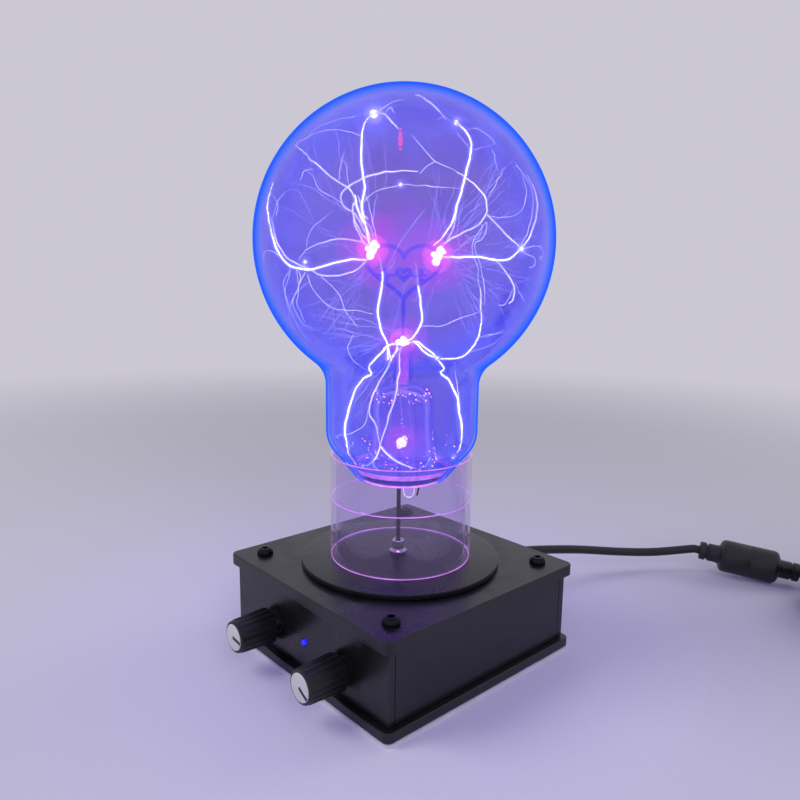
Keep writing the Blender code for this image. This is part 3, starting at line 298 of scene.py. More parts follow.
def see_through(name, painted_edge_glow, painted_glow_strength, edge_start, edge_end, edge_cover, clear_tint, gloss, wall):
    """Clear glass or acrylic: a mirror at a glancing view, with a painted glow at its edge that stands for
    the light its long path shows.
    """
    material, tree, where = shader_tree(name)
    ripple = bump(tree, noise(tree, where, 26 * MM), 0.25 * MM, 0.35)
    mirror = add(tree, "ShaderNodeBsdfGlossy", {"Color": (1, 1, 1), "Roughness": gloss, "Normal": ripple})
    facing = facing_share(tree)
    shine = ramp(tree, calc(tree, "POWER", facing, 5.0), 0, 1, 0.035, 0.9)
    # painted glow: light laid over the surface where it is seen edge on
    rim = ramp(tree, facing, edge_start, edge_end, wall, edge_cover, smooth=True)
    pane = over(tree, shine, clear(tree, clear_tint), mirror)
    surface(tree, over(tree, rim, pane, light(tree, painted_edge_glow, painted_glow_strength)))
    return material


def gas_finish(name, cover, limb_cover, cloud, shift):
    """Glow that lines the inside of the glass: soft violet clouds, denser where the lining is edge on."""
    material, tree, where = shader_tree(name)
    moved_on = add(tree, "ShaderNodeMapping", {"Vector": where, "Location": (shift, shift, -shift)})
    clouds = noise(tree, moved_on, cloud * MM, 3, roughness=0.45, distortion=0.8)
    thick = ramp(tree, clouds, 0.36, 0.62, smooth=True)
    height = add(tree, "ShaderNodeSeparateXYZ", {"Vector": where}).outputs["Z"]
    low = ramp(tree, height, GLOBE_Z, MOUTH_Z + 14 * MM, 0, 0.45)
    facing = facing_share(tree)
    limb = ramp(tree, facing, 0.12, 0.62, smooth=True)
    share = calc(tree, "MULTIPLY_ADD", limb, 0.6, low)
    share = calc(tree, "MULTIPLY_ADD", thick, 0.35, share, clamp=True)
    chosen = settings("bulb")
    colour = tinted(tree, share, tuple(chosen.gas_deep), tuple(chosen.gas_haze))
    colour = tinted(tree, calc(tree, "MULTIPLY", thick, 0.17), colour, tone("#A9A0FF"))
    patchy = ramp(tree, thick, 0, 1, cover * 0.85, cover * 1.15)
    edge = ramp(tree, facing, 0.35, 0.72, 0, limb_cover - cover, smooth=True)
    veil = calc(tree, "ADD", patchy, edge, clamp=True)
    surface(tree, over(tree, veil, clear(tree), light(tree, colour, 1)))
    return material


def light_finish(name, colour, strength, cover, flicker, size):
    """A discharge that gives light: it covers what is behind it by a share and is brighter in places."""
    material, tree, where = shader_tree(name)
    patches = noise(tree, where, size * MM)
    power = ramp(tree, patches, 0.3, 0.7, strength * (1 - flicker), strength * (1 + flicker))
    glow = light(tree, colour, power)
    surface(tree, over(tree, cover, clear(tree), glow) if cover < 1 else glow)
    return material


def glowing_plastic(name, colour, glow, strength, roughness, grain):
    """A solid that glows evenly, with a fine frosted surface: light that a translucent piece carries inside
    it, or painted glow on opaque steel.
    """
    material, tree, where = shader_tree(name)
    frost = noise(tree, where, grain * MM, 3)
    spread = ramp(tree, frost, 0.3, 0.7, strength * 0.75, strength * 1.25)
    principled(tree, colour, roughness, bump(tree, frost, 0.02 * MM, 0.5), Emission_Color=glow,
               Emission_Strength=spread)
    return material


def waves(tree, where, pitch, way, **more):
    """Ridges at an even pitch along one axis."""
    return add(tree, "ShaderNodeTexWave", {"Vector": where, "Scale": 1 / (pitch * math.tau / 2), **more},
               bands_direction=way)


def wound_wire():
    """Enamelled wire in close turns: a ridge a wire's width apart runs round the winding, with painted shade
    darkening the copper between the turns.
    """
    material, tree, where = shader_tree("enamelled copper turns")
    copper = tone("#B5602C")
    turns = waves(tree, where, 0.5 * MM, "Z", Distortion=0.3)
    # painted shade: the copper is darker where the ridges dip between turns
    tint = tinted(tree, turns, tuple(c * 0.45 for c in copper), copper)
    principled(tree, tint, 0.3, bump(tree, turns, 0.1 * MM, 0.8), Metallic=0.8)
    return material


def circuit_finish():
    """Solder mask over copper: tracks a millimetre wide show as a paler green."""
    material, tree, where = shader_tree("green solder mask")
    tracks = add(tree, "ShaderNodeTexBrick", {
        "Vector": where, "Color1": tone("#0E4A22"), "Color2": tone("#13592A"), "Mortar": tone("#2E8A48"),
        "Scale": 1, "Mortar Size": 0.5 * MM, "Brick Width": 9 * MM, "Row Height": 4 * MM})
    principled(tree, tracks.outputs["Color"], 0.35, bump(tree, tracks.outputs["Fac"], 0.03 * MM, 0.6))
    return material


def woven_tape():
    """Woven nylon tape: crossed threads about a millimetre apart, with painted shade in the hollows between
    them.
    """
    material, tree, where = shader_tree("woven nylon tape")
    cross = calc(tree, "MULTIPLY", *(waves(tree, where, 1.1 * MM, way) for way in "XZ"))
    # painted shade: darker where the weave dips
    tint = tinted(tree, cross, tone("#0B0B0D"), tone("#2A2A2E"))
    principled(tree, tint, 0.8, bump(tree, cross, 0.15 * MM, 0.8), Sheen_Weight=0.3)
    return material


# Each finish by its real material: colour, roughness, metallic, grain and relief in millimetres, mottle
SOLIDS = {
    "lead wire": ("oxidised lead-in wire", "#3A3040", 0.45, 1, 0.3, 0.02, 0.2),
    "nickel": ("nickel-plated brass", "#CFCBC2", 0.24, 1, 0.5, 0.006, 0.08),
    "black oxide": ("black oxide steel", "#26262A", 0.34, 1, 0.4, 0.01, 0.2),
    "knob": ("moulded black ABS", "#141417", 0.42, 0, 0.35, 0.02, 0.12),
    "cap": ("satin pale ABS", "#C9C9CE", 0.36, 0, 0.5, 0.008, 0.06),
    "pointer": ("dark pointer inlay", "#1A1315", 0.4, 0, 0.3, 0.01, 0.2),
    "epoxy": ("moulded black epoxy", "#17171A", 0.5, 0, 0.3, 0.03, 0.1),
    "ferrite": ("sintered ferrite", "#2B2B2E", 0.6, 0, 0.7, 0.08, 0.25),
    "silicone": ("red silicone insulation", "#B01F22", 0.5, 0, 0.5, 0.02, 0.2),
    "moulding": ("injection-moulded PVC", "#121215", 0.4, 0, 0.5, 0.04, 0.15),
    "adapter": ("spark-eroded black ABS", "#161619", 0.5, 0, 0.45, 0.06, 0.1),
}
# Each light by what it is: colour, strength, cover, flicker, size of the flicker's patches in millimetres
LIGHTS = {
    "edge line": ("light in the polished edge", "#D48CF4", 1.1, 1, 0.25, 9),
    "rim line": ("dim light in the rim", "#E88CF0", 1.2, 0.7, 0.3, 9),
    "thread": ("white discharge thread", "#F6F0FF", 9, 1, 0.3, 6),
    "soft thread": ("softer discharge thread", "#E2DCFF", 4, 0.85, 0.35, 8),
    "thin thread": ("pale discharge thread", "#C6C4FF", 3, 0.6, 0.4, 9),
    "thread glow": ("glow round a thread", "#A9A2FF", 4.5, 0.16, 0, 3),
    "faint glow": ("outer glow round a thread", "#7C7CFF", 3, 0.07, 0, 3),
    "wisp": ("faint discharge wisp", "#9C98FF", 3, 0.24, 0.5, 12),
    "pink core": ("white heart of the glow", "#FFE6F4", 16, 1, 0, 3),
    "pink glow": ("pink glow at the electrode", "#FF4FA8", 5, 0.14, 0, 3),
    "pink haze": ("pink haze round the electrode", "#D02FC8", 3, 0.068, 0, 3),
    "heart cloud": ("purple gas over the heart", "#C030D0", 1.6, 0.05, 0, 3),
    "glitter": ("pink glitter in the fused glass", "#FFA6E8", 6, 0.85, 0, 3),
    "pinch glow": ("pink glow in the pinch", "#FF7AD0", 3.4, 0.5, 0.5, 3),
    "orange spark": ("orange spark on the glass", "#FF4A34", 3, 0.5, 0, 3),
    "hot spot": ("white-hot spot", "#FFF4FA", 26, 1, 0, 3),
    "seal line": ("pink light in the fused foot", "#E884FF", 1.8, 0.85, 0.4, 3),
    "seal glow": ("pink glow over the seal", "#F58CF0", 1.6, 0.4, 0.4, 3),
    "seal band": ("dim violet band in the seal", "#2C18B0", 0.9, 0.8, 0.3, 3),
}
FINISHES = {}


def finish(name):
    """The material for a finish, made on first use."""
    if name not in FINISHES:
        for table, maker in ((SOLIDS, solid_finish), (LIGHTS, light_finish)):
            if name in table:
                real, code, *rest = table[name]
                FINISHES[name] = maker(real, tone(code), *rest)
                return FINISHES[name]
        FINISHES[name] = MAKERS[name]()
    return FINISHES[name]


def settings(group):
    """The scene's property group for the bulb, controls, lead, case or stage."""
    return getattr(bpy.context.scene, "transformer_" + group)


MAKERS = {
    "acrylic": lambda: satin_acrylic(tuple(settings("case").acrylic)),
    "foam": lambda: solid_finish(
        "closed-cell foam sheet", tuple(settings("case").foam), 0.85, grain=0.6, relief=0.15, mottle=0.08),
    # clear acrylic, bulb glass and stem glass carry a painted glow at their edges: violet on the tube, blue
    # on the bulb, pale violet on the stem
    "clear acrylic": lambda: see_through(
        "polished clear acrylic", tone("#A88CD8"), 0.8, 0.84, 0.99, 0.36, tone("#F6F2FF"), 0.03, 0.02),
    "cut edge": lambda: glowing_plastic(
        "cut edge of clear acrylic", tone("#E8D2FA"), tuple(settings("case").edge_light), 0.3, 0.4, 0.4),
    "bulb glass": lambda: see_through(
        "blown soda-lime glass", tuple(settings("bulb").rim), 1.1, 0.66, 0.86, 0.95, tone("#FAFAFF"), 0.02,
        0.0),
    "stem glass": lambda: see_through(
        "drawn lead glass", tone("#E4CCFF"), 2.4, 0.42, 0.95, 0.9, tone("#F4F0FF"), 0.03, 0.03),
    "outer gas": lambda: gas_finish("violet gas by the glass", 0.55, 0.86, 26, 0.0),
    "inner gas": lambda: gas_finish("violet gas within", 0.18, 0.3, 36, 0.13),
    # painted glow: the discharge's blue light shown as emission on the steel heart and its wires
    "steel with painted glow": lambda: glowing_plastic(
        "steel with painted glow in the discharge's light", tone("#060A50"), tone("#0010FF"), 1.0, 0.35, 0.5),
    "lens": lambda: glowing_plastic(
        "diffused blue epoxy lens", tone("#1B20E0"), tone("#2A22FF"), 0.9, 0.15, 0.5),
    "aluminium": lambda: solid_finish(
        "extruded aluminium", tone("#CBCDD1"), 0.38, 1, 0.5, 0.01, 0.08, stretch=(1, 1, 0.08)),
    "sleeve": lambda: solid_finish("shrunk PVC sleeve", tone("#1C2A5A"), 0.3, 0, 2, 0.02, 0.1, coat=0.3),
    "cable": lambda: solid_finish(
        "soft PVC sheath", tuple(settings("lead").sheath), 0.44, 0, 0.7, 0.05, 0.15),
    "circuit": circuit_finish,
    "winding": wound_wire,
    "tape": woven_tape,
}


def up(height):
    """A step straight up."""
    return Vector((0, 0, height))


def round_z(radius, turn, height):
    """The point at a radius, an angle and a height round the upright axis."""
    return Vector((radius * math.cos(turn), radius * math.sin(turn), height))


def eased(t):
    """A share from 0 to 1 that starts and stops gently."""
    return t * t * (3 - 2 * t)


def in_mm(points):
    """Profile points that are given in millimetres."""
    return [(r * MM, z * MM) for r, z in points]


def placed(*places):
    """Places that are given in millimetres."""
    return [Vector(place) * MM for place in places]


def ring_of(count):
    """Cosine and sine of evenly spaced angles round a circle."""
    return [(math.cos(math.tau * i / count), math.sin(math.tau * i / count)) for i in range(count)]


def meshed(name, shape, sharp=None, outward=True):
    """Smooth mesh of a finished shape, with an edge kept sharp where its faces turn by more than an angle."""
    if outward:
        bmesh.ops.recalc_face_normals(shape, faces=shape.faces)
    mesh = bpy.data.meshes.new(name)
    shape.to_mesh(mesh)
    shape.free()
    mesh.shade_smooth()
    if sharp:
        mesh.set_sharp_from_angle(angle=math.radians(sharp))
    return mesh


def skin(shape, rings):
    """Faces between neighbouring rings of points."""
    for first, second in zip(rings, rings[1:]):
        for i in range(len(first)):
            j = (i + 1) % len(first)
            shape.faces.new((first[i], first[j], second[j], second[i]))


def arc(centre, radius, start, end, count):
    """Points on an arc in the profile plane, angles counted from +X towards +Z."""
    return [(centre[0] + radius * math.cos(start + (end - start) * i / count),
             centre[1] + radius * math.sin(start + (end - start) * i / count)) for i in range(count + 1)]


def bend(start, control, end, count):
    """Points on a quadratic curve, without its first point."""
    points = []
    for i in range(1, count + 1):
        t = i / count
        points.append(tuple(
            (1 - t) ** 2 * a + 2 * t * (1 - t) * b + t * t * c for a, b, c in zip(start, control, end)))
    return points


def lathe(name, profile, segments=96, joined=False, marked=()):
    """Mesh turned round Z from (radius, height) points. marked lists the steps of the second material."""
    shape = bmesh.new()
    rings = []
    for radius, height in profile:
        turns = ring_of(segments) if radius > 1e-7 else [(0, 0)]
        rings.append([shape.verts.new((radius * c, radius * s, height)) for c, s in turns])
    pairs = list(zip(rings, rings[1:])) + ([(rings[-1], rings[0])] if joined else [])
    for step, (first, second) in enumerate(pairs):
        if len(first) == len(second) == 1:
            continue
        for i in range(segments):
            j = (i + 1) % segments
            if len(first) == 1:
                corners = (first[0], second[i], second[j])
            elif len(second) == 1:
                corners = (first[i], second[0], first[j])
            else:
                corners = (first[i], second[i], second[j], first[j])
            shape.faces.new(corners).material_index = int(step in marked)
    return meshed(name, shape, 38)


def moved(mesh, matrix):
    """The mesh with a place or turn applied to its points."""
    mesh.transform(matrix)
    if matrix.determinant() < 0:
        mesh.flip_normals()
    return mesh


def stand(base, direction):
    """Matrix that stands a mesh's own Z axis along a direction, with its origin at base."""
    return Matrix.Translation(Vector(base)) @ Vector(direction).to_track_quat("Z", "Y").to_matrix().to_4x4()


def put(name, mesh, body, finishes, stands_for=()):
    """A finished piece at the origin, on its body, in its materials."""
    item = bpy.data.objects.new(name, mesh)
    bpy.context.scene.collection.objects.link(item)
    if finishes:
        mesh.materials.clear()
        for one in finishes:
            mesh.materials.append(finish(one))
    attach(item, body)
    if stands_for:
        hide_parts(*stands_for)
    return item


def in_bulb(name, mesh, look, stands_for=()):
    """A piece of glass, gas or light that rides on the bulb."""
    return put(name, mesh, "bulb", [look], stands_for)


def merged(name, meshes):
    """One mesh made of several, with their material numbers kept."""
    made = bpy.data.meshes.new(name)
    shape = bmesh.new()
    for mesh in meshes:
        shape.from_mesh(mesh)
    shape.to_mesh(made)
    shape.free()
    for mesh in meshes:
        bpy.data.meshes.remove(mesh)
    return made


def bead_ring(name, radius, level, bead, sides, segments):
    """Thin round ring of light."""
    profile = [(radius + bead * c, level + bead * s) for c, s in ring_of(sides)]
    return lathe(name, profile, segments, joined=True)


def rounded_block(name, low, high, edge, segments=3):
    """A box between two corners with rounded edges."""
    low, high = Vector(low), Vector(high)
    shape = bmesh.new()
    size = Matrix.Diagonal((*(high - low), 1))
    bmesh.ops.create_cube(shape, size=1, matrix=Matrix.Translation((low + high) / 2) @ size)
    bmesh.ops.bevel(shape, geom=shape.edges[:], offset=edge, segments=segments, profile=0.5, affect="EDGES")
    return meshed(name, shape, 50, outward=False)


def sweep(name, points, radii, sides=12):
    """Round tube along points, with a radius for each point and closed ends."""
    points = [Vector(point) for point in points]
    shape = bmesh.new()
    rings = []
    side = (points[1] - points[0]).orthogonal().normalized()
    for i, point in enumerate(points):
        ahead = (points[min(i + 1, len(points) - 1)] - points[max(i - 1, 0)]).normalized()
        side = (side - ahead * side.dot(ahead)).normalized()
        across = ahead.cross(side)
        rings.append([shape.verts.new(point + (side * c + across * s) * radii[i]) for c, s in ring_of(sides)])
    skin(shape, rings)
    shape.faces.new(rings[0][::-1])
    shape.faces.new(rings[-1])
    return meshed(name, shape, 50)


def smooth_curve(route, steps):
    """Fine points along a smooth curve through a route. It leaves out the route's first and last points."""
    fine = [route[1]]
    for before, start, end, after in zip(route, route[1:], route[2:], route[3:]):
        for step in range(1, steps + 1):
            t = step / steps
            fine.append(0.5 * (
                2 * start + (end - before) * t + (2 * before - 5 * start + 4 * end - after) * t * t
                + (3 * start - before - 3 * end + after) * t ** 3))
    return fine


def smooth_through(route, spacing):
    """Points at an even spacing along a smooth curve through a route, with its end legs left straight."""
    route = [Vector(point) for point in route]
    return [route[0]] + spaced(smooth_curve(route, 24), spacing) + [route[-1]]


def spaced(fine, spacing):
    """Points at an even spacing along a fine polyline, with both ends kept."""
    length = run_length(fine)
    count = max(2, round(length / spacing))
    points, travelled = [fine[0]], 0
    for start, end in zip(fine, fine[1:]):
        piece = (end - start).length
        while len(points) < count and travelled + piece >= length * len(points) / count:
            points.append(start.lerp(end, (length * len(points) / count - travelled) / piece))
        travelled += piece
    points.append(fine[-1])
    return points


def run_length(points):
    """Length along a polyline."""
    return sum((end - start).length for start, end in zip(points, points[1:]))


def new_tree(name, inputs):
    """An empty geometry tree with a Geometry input and output and the named inputs."""
    tree = bpy.data.node_groups.new(name, "GeometryNodeTree")
    tree.interface.new_socket("Geometry", in_out="INPUT", socket_type="NodeSocketGeometry")
    for label, kind, value in inputs:
        socket = tree.interface.new_socket(label, in_out="INPUT", socket_type="NodeSocket" + kind)
        if value is not None:
            socket.default_value = value
    tree.interface.new_socket("Geometry", in_out="OUTPUT", socket_type="NodeSocketGeometry")
    return tree, add(tree, "NodeGroupInput").outputs


def end_tree(tree, geometry, material):
    """Realize what was made, give it its material and send it out."""
    real = add(tree, "GeometryNodeRealizeInstances", {"Geometry": geometry})
    painted = add(tree, "GeometryNodeSetMaterial", {"Geometry": real, "Material": material})
    add(tree, "NodeGroupOutput", {"Geometry": painted})
    return tree


def own_width(tree, swell):
    """The width kept on each point, times a swell."""
    width = add(tree, "GeometryNodeInputNamedAttribute", {"Name": "width"}, data_type="FLOAT")
    return calc(tree, "MULTIPLY", width, swell)


def thread_tree():
    """Discharge threads: each edge path strays from its line by a fixed noise and becomes a tapering tube."""
    tree, given = new_tree("discharge threads", (
        ("Spacing", "Float", 1.2 * MM), ("Wander", "Float", 0.8 * MM), ("Ripple", "Float", 7 * MM),
        ("Seed", "Float", 0.0), ("Swell", "Float", 1.0), ("Sides", "Int", 8), ("Material", "Material", None)))
    curve = add(tree, "GeometryNodeMeshToCurve", {"Mesh": given["Geometry"]})
    even = add(tree, "GeometryNodeResampleCurve", {"Curve": curve, "Length": given["Spacing"]}, mode="LENGTH")
    stray = add(tree, "ShaderNodeTexNoise", {
        "Vector": add(tree, "GeometryNodeInputPosition"), "W": given["Seed"],
        "Scale": calc(tree, "DIVIDE", 1.0, given["Ripple"]), "Detail": 1.5}, noise_dimensions="4D")
    centred = add(tree, "ShaderNodeVectorMath", {
        0: stray.outputs["Color"], 1: (0.5, 0.5, 0.5)}, operation="SUBTRACT")
    share = add(tree, "GeometryNodeSplineParameter").outputs["Factor"]
    left = calc(tree, "SUBTRACT", 1.0, share)
    loose = ramp(tree, calc(tree, "MULTIPLY", share, left), 0, 0.08, 0, 4.0)
    reach = calc(tree, "MULTIPLY", loose, given["Wander"])
    strayed = add(tree, "GeometryNodeSetPosition", {"Geometry": even, "Offset": scaled(tree, centred, reach)})
    taper = ramp(tree, left, 0, 0.3, 0.45, 1.0)
    radius = calc(tree, "MULTIPLY", own_width(tree, given["Swell"]), taper)
    ring = add(tree, "GeometryNodeCurvePrimitiveCircle", {"Resolution": given["Sides"], "Radius": 1.0})
    tube = add(tree, "GeometryNodeCurveToMesh", {
        "Curve": strayed, "Profile Curve": ring, "Scale": radius, "Fill Caps": True})
    smooth = add(tree, "GeometryNodeSetShadeSmooth", {"Geometry": tube})
    return end_tree(tree, smooth, given["Material"])


def round_tree():
    """Copies of a piece in a ring round Z, each turned to its place."""
    tree, given = new_tree("copies in a ring", (
        ("Count", "Int", 12), ("Radius", "Float", 10 * MM), ("Start", "Float", 0.0),
        ("Material", "Material", None)))
    ring = add(tree, "GeometryNodeMeshCircle", {"Vertices": given["Count"], "Radius": given["Radius"]})
    turned = add(tree, "GeometryNodeTransform", {"Geometry": ring, "Rotation": add(
        tree, "ShaderNodeCombineXYZ", {"Z": given["Start"]})})
    place = add(tree, "ShaderNodeSeparateXYZ", {"Vector": add(tree, "GeometryNodeInputPosition")})
    angle = calc(tree, "ARCTAN2", place.outputs["Y"], place.outputs["X"])
    copies = add(tree, "GeometryNodeInstanceOnPoints", {
        "Points": turned, "Instance": given["Geometry"], "Rotation": add(
            tree, "ShaderNodeCombineXYZ", {"Z": angle})})
    return end_tree(tree, copies, given["Material"])


def row_tree():
    """Copies of a piece in a straight row."""
    tree, given = new_tree("copies in a row", (
        ("Count", "Int", 5), ("Step", "Vector", (0, 0, 2 * MM)), ("Shrink", "Float", 1.0),
        ("Material", "Material", None)))
    line = add(tree, "GeometryNodeMeshLine", {"Count": given["Count"], "Offset": given["Step"]})
    power = calc(tree, "POWER", given["Shrink"], add(tree, "GeometryNodeInputIndex"))
    size = add(tree, "ShaderNodeCombineXYZ", {"X": power, "Y": power, "Z": 1.0})
    copies = add(tree, "GeometryNodeInstanceOnPoints", {
        "Points": line, "Instance": given["Geometry"], "Scale": size})
    return end_tree(tree, copies, given["Material"])


def spot_tree():
    """A round spot at each point, as large as the point's own width says."""
    tree, given = new_tree("round spots", (
        ("Swell", "Float", 1.0), ("Material", "Material", None)))
    ball = add(tree, "GeometryNodeMeshIcoSphere", {"Radius": 1.0, "Subdivisions": 3})
    size = own_width(tree, given["Swell"])
    balls = add(tree, "GeometryNodeInstanceOnPoints", {
        "Points": given["Geometry"], "Instance": ball.outputs["Mesh"], "Scale": size})
    smooth = add(tree, "GeometryNodeSetShadeSmooth", {"Geometry": add(
        tree, "GeometryNodeRealizeInstances", {"Geometry": balls})})
    return end_tree(tree, smooth, given["Material"])


TREES = {}


def grown(name, base, make_tree, **values):
    """Plain mesh that a geometry tree makes from a base mesh."""
    if make_tree.__name__ not in TREES:
        TREES[make_tree.__name__] = make_tree()
    tree = TREES[make_tree.__name__]
    carrier = bpy.data.objects.new(name + "_base", base)
    bpy.context.scene.collection.objects.link(carrier)
    modifier = carrier.modifiers.new(tree.name, "NODES")
    modifier.node_group = tree
    for item in tree.interface.items_tree:
        if item.in_out == "INPUT" and item.name in values:
            modifier[item.identifier] = values[item.name]
    bpy.context.view_layer.update()
    graph = bpy.context.evaluated_depsgraph_get()
    mesh = bpy.data.meshes.new_from_object(carrier.evaluated_get(graph), depsgraph=graph)
    bpy.data.objects.remove(carrier, do_unlink=True)
    mesh.name = name
    return mesh


def widths_mesh(name, points, edges, widths):
    """Loose points and edges, with a width kept on each point."""
    mesh = bpy.data.meshes.new(name)
    mesh.from_pydata([tuple(point) for point in points], edges, [])
    kept = mesh.attributes.new("width", "FLOAT", "POINT")
    for value, width in zip(kept.data, widths):
        value.value = width
    return mesh


def paths_mesh(name, paths):
    """Edges along (width, points) paths, with each path's width kept on its points."""
    points, edges, widths = [], [], []
    for width, path in paths:
        edges += [(len(points) + i, len(points) + i + 1) for i in range(len(path) - 1)]
        points += path
        widths += [width] * len(path)
    return widths_mesh(name, points, edges, widths)


def on_upright(x, y, nearer=0.0):
    """Where a picture point's line of sight meets the upright plane that lies nearer than the axis."""
    half = PICTURE_SIDE / 2
    ray = CAMERA_FORWARD * FOCAL_PIXELS + IMAGE_RIGHT * (x - half) - IMAGE_UP * (y - half)
    reach = (nearer - CAMERA_PLACE.dot(TOWARD)) / ray.dot(TOWARD)
    return CAMERA_PLACE + ray * reach


def bulb_profile(inset, arc_steps=56):
    """Outer profile of the bulb moved inwards, from the crown down to the open mouth."""
    spread = NECK_RADIUS + NECK_FILLET
    drop = math.sqrt((GLOBE_RADIUS + NECK_FILLET) ** 2 - spread ** 2)
    meet = math.atan2(drop, spread)
    crown = GLOBE_Z + GLOBE_RADIUS - inset
    profile = [(0, crown)] + arc((0, GLOBE_Z), GLOBE_RADIUS - inset, math.pi / 2, -meet, arc_steps)[1:]
    profile += arc((spread, GLOBE_Z - drop), NECK_FILLET + inset, math.pi - meet, math.pi, 10)[1:]
    neck_foot = (NECK_RADIUS - inset, NECK_FOOT_Z + inset / 2)
    seat = (SEAT_RADIUS - inset, RIM_Z + inset / 2)
    foot = (FOOT_RADIUS - inset, FOOT_Z + inset / 3)
    profile.append(neck_foot)
    profile += bend(neck_foot, (neck_foot[0], neck_foot[1] - SHOULDER_REACH), seat, 8)
    profile += bend(seat, ((seat[0] + foot[0]) / 2, (seat[1] + foot[1]) / 2), foot, 3)
    profile.append((MOUTH_RADIUS - inset, MOUTH_Z))
    return profile


def stem_profile(outset):
    """Outer profile of the stem moved outwards, from its top down to the mouth."""
    profile = [(0, PINCH_TOP_Z + outset), (PINCH_RADIUS + outset, PINCH_TOP_Z + outset)]
    profile.append((PINCH_RADIUS + outset, FLARE_TOP_Z + PINCH_RADIUS + outset))
    profile += bend(profile[-1], (WAIST_RADIUS + outset, FLARE_TOP_Z + PINCH_RADIUS + outset),
                    (WAIST_RADIUS + outset, FLARE_SHOULDER_Z), 10)
    profile += bend(profile[-1], (WAIST_RADIUS + outset, MOUTH_Z + WAIST_RADIUS / 2),
                    (FLARE_RADIUS + outset, MOUTH_Z), 10)
    return profile


def radius_at(profile, height):
    """Radius of a falling profile at a height."""
    for (r1, z1), (r2, z2) in zip(profile, profile[1:]):
        if z2 <= height <= z1 and z1 > z2:
            return r1 + (r2 - r1) * (z1 - height) / (z1 - z2)
    return 0.0 if height > profile[0][1] else profile[-1][0]


def gas_shell(name, inset, outset, floor):
    """Closed hollow shell that follows the bulb inside and the stem outside, down to a floor level."""
    outer = [point for point in bulb_profile(inset) if point[1] > floor]
    inner = [point for point in stem_profile(outset) if point[1] > floor]
    outer.append((radius_at(bulb_profile(inset), floor), floor))
    inner.append((radius_at(stem_profile(outset), floor), floor))
    return lathe(name, outer + inner[::-1], 128)


# Free space for the threads: how far they stay from the glass and from the stem
THREAD_INSET = 2.6 * MM
THREAD_OUTSET = 0.9 * MM
BULB_INSIDE = bulb_profile(THREAD_INSET)
STEM_OUTSIDE = stem_profile(THREAD_OUTSET)


def kept_inside(point):
    """The point, moved in or out so that it lies between the stem and the glass."""
    height = min(point.z, GLOBE_Z + GLOBE_RADIUS - THREAD_INSET - 0.2 * MM)
    radius = Vector((point.x, point.y)).length
    most = radius_at(BULB_INSIDE, height)
    least = radius_at(STEM_OUTSIDE, height) if height < PINCH_TOP_Z + THREAD_OUTSET else 0.0
    wanted = min(max(radius, least), most)
    if radius < 1e-6:
        return Vector((wanted, 0, height))
    return Vector((point.x * wanted / radius, point.y * wanted / radius, height))


def deep_path(picture_points, start_share, end_share):
    """A thread through picture points: its depth goes from one share of the free depth to another."""
    flat = [on_upright(x, y) for x, y in picture_points]
    total = run_length(flat)
    points, travelled = [], 0
    for index, point in enumerate(flat):
        if index:
            travelled += (point - flat[index - 1]).length
        share = start_share + (end_share - start_share) * travelled / total
        across = point.dot(SIDEWAYS)
        free = math.sqrt(max(0, radius_at(BULB_INSIDE, min(point.z, BULB_INSIDE[0][1])) ** 2 - across ** 2))
        points.append(kept_inside(on_upright(*picture_points[index], nearer=share * free)))
    ends = [points[0] * 2 - points[1], *points, points[-1] * 2 - points[-2]]
    return [points[0]] + [kept_inside(point) for point in smooth_curve(ends, 12)[1:]]


def in_depth(x, y, share):
    """A picture point's place at a share of the free depth."""
    return deep_path(((x, y), (x + 1, y)), share, share)[0]
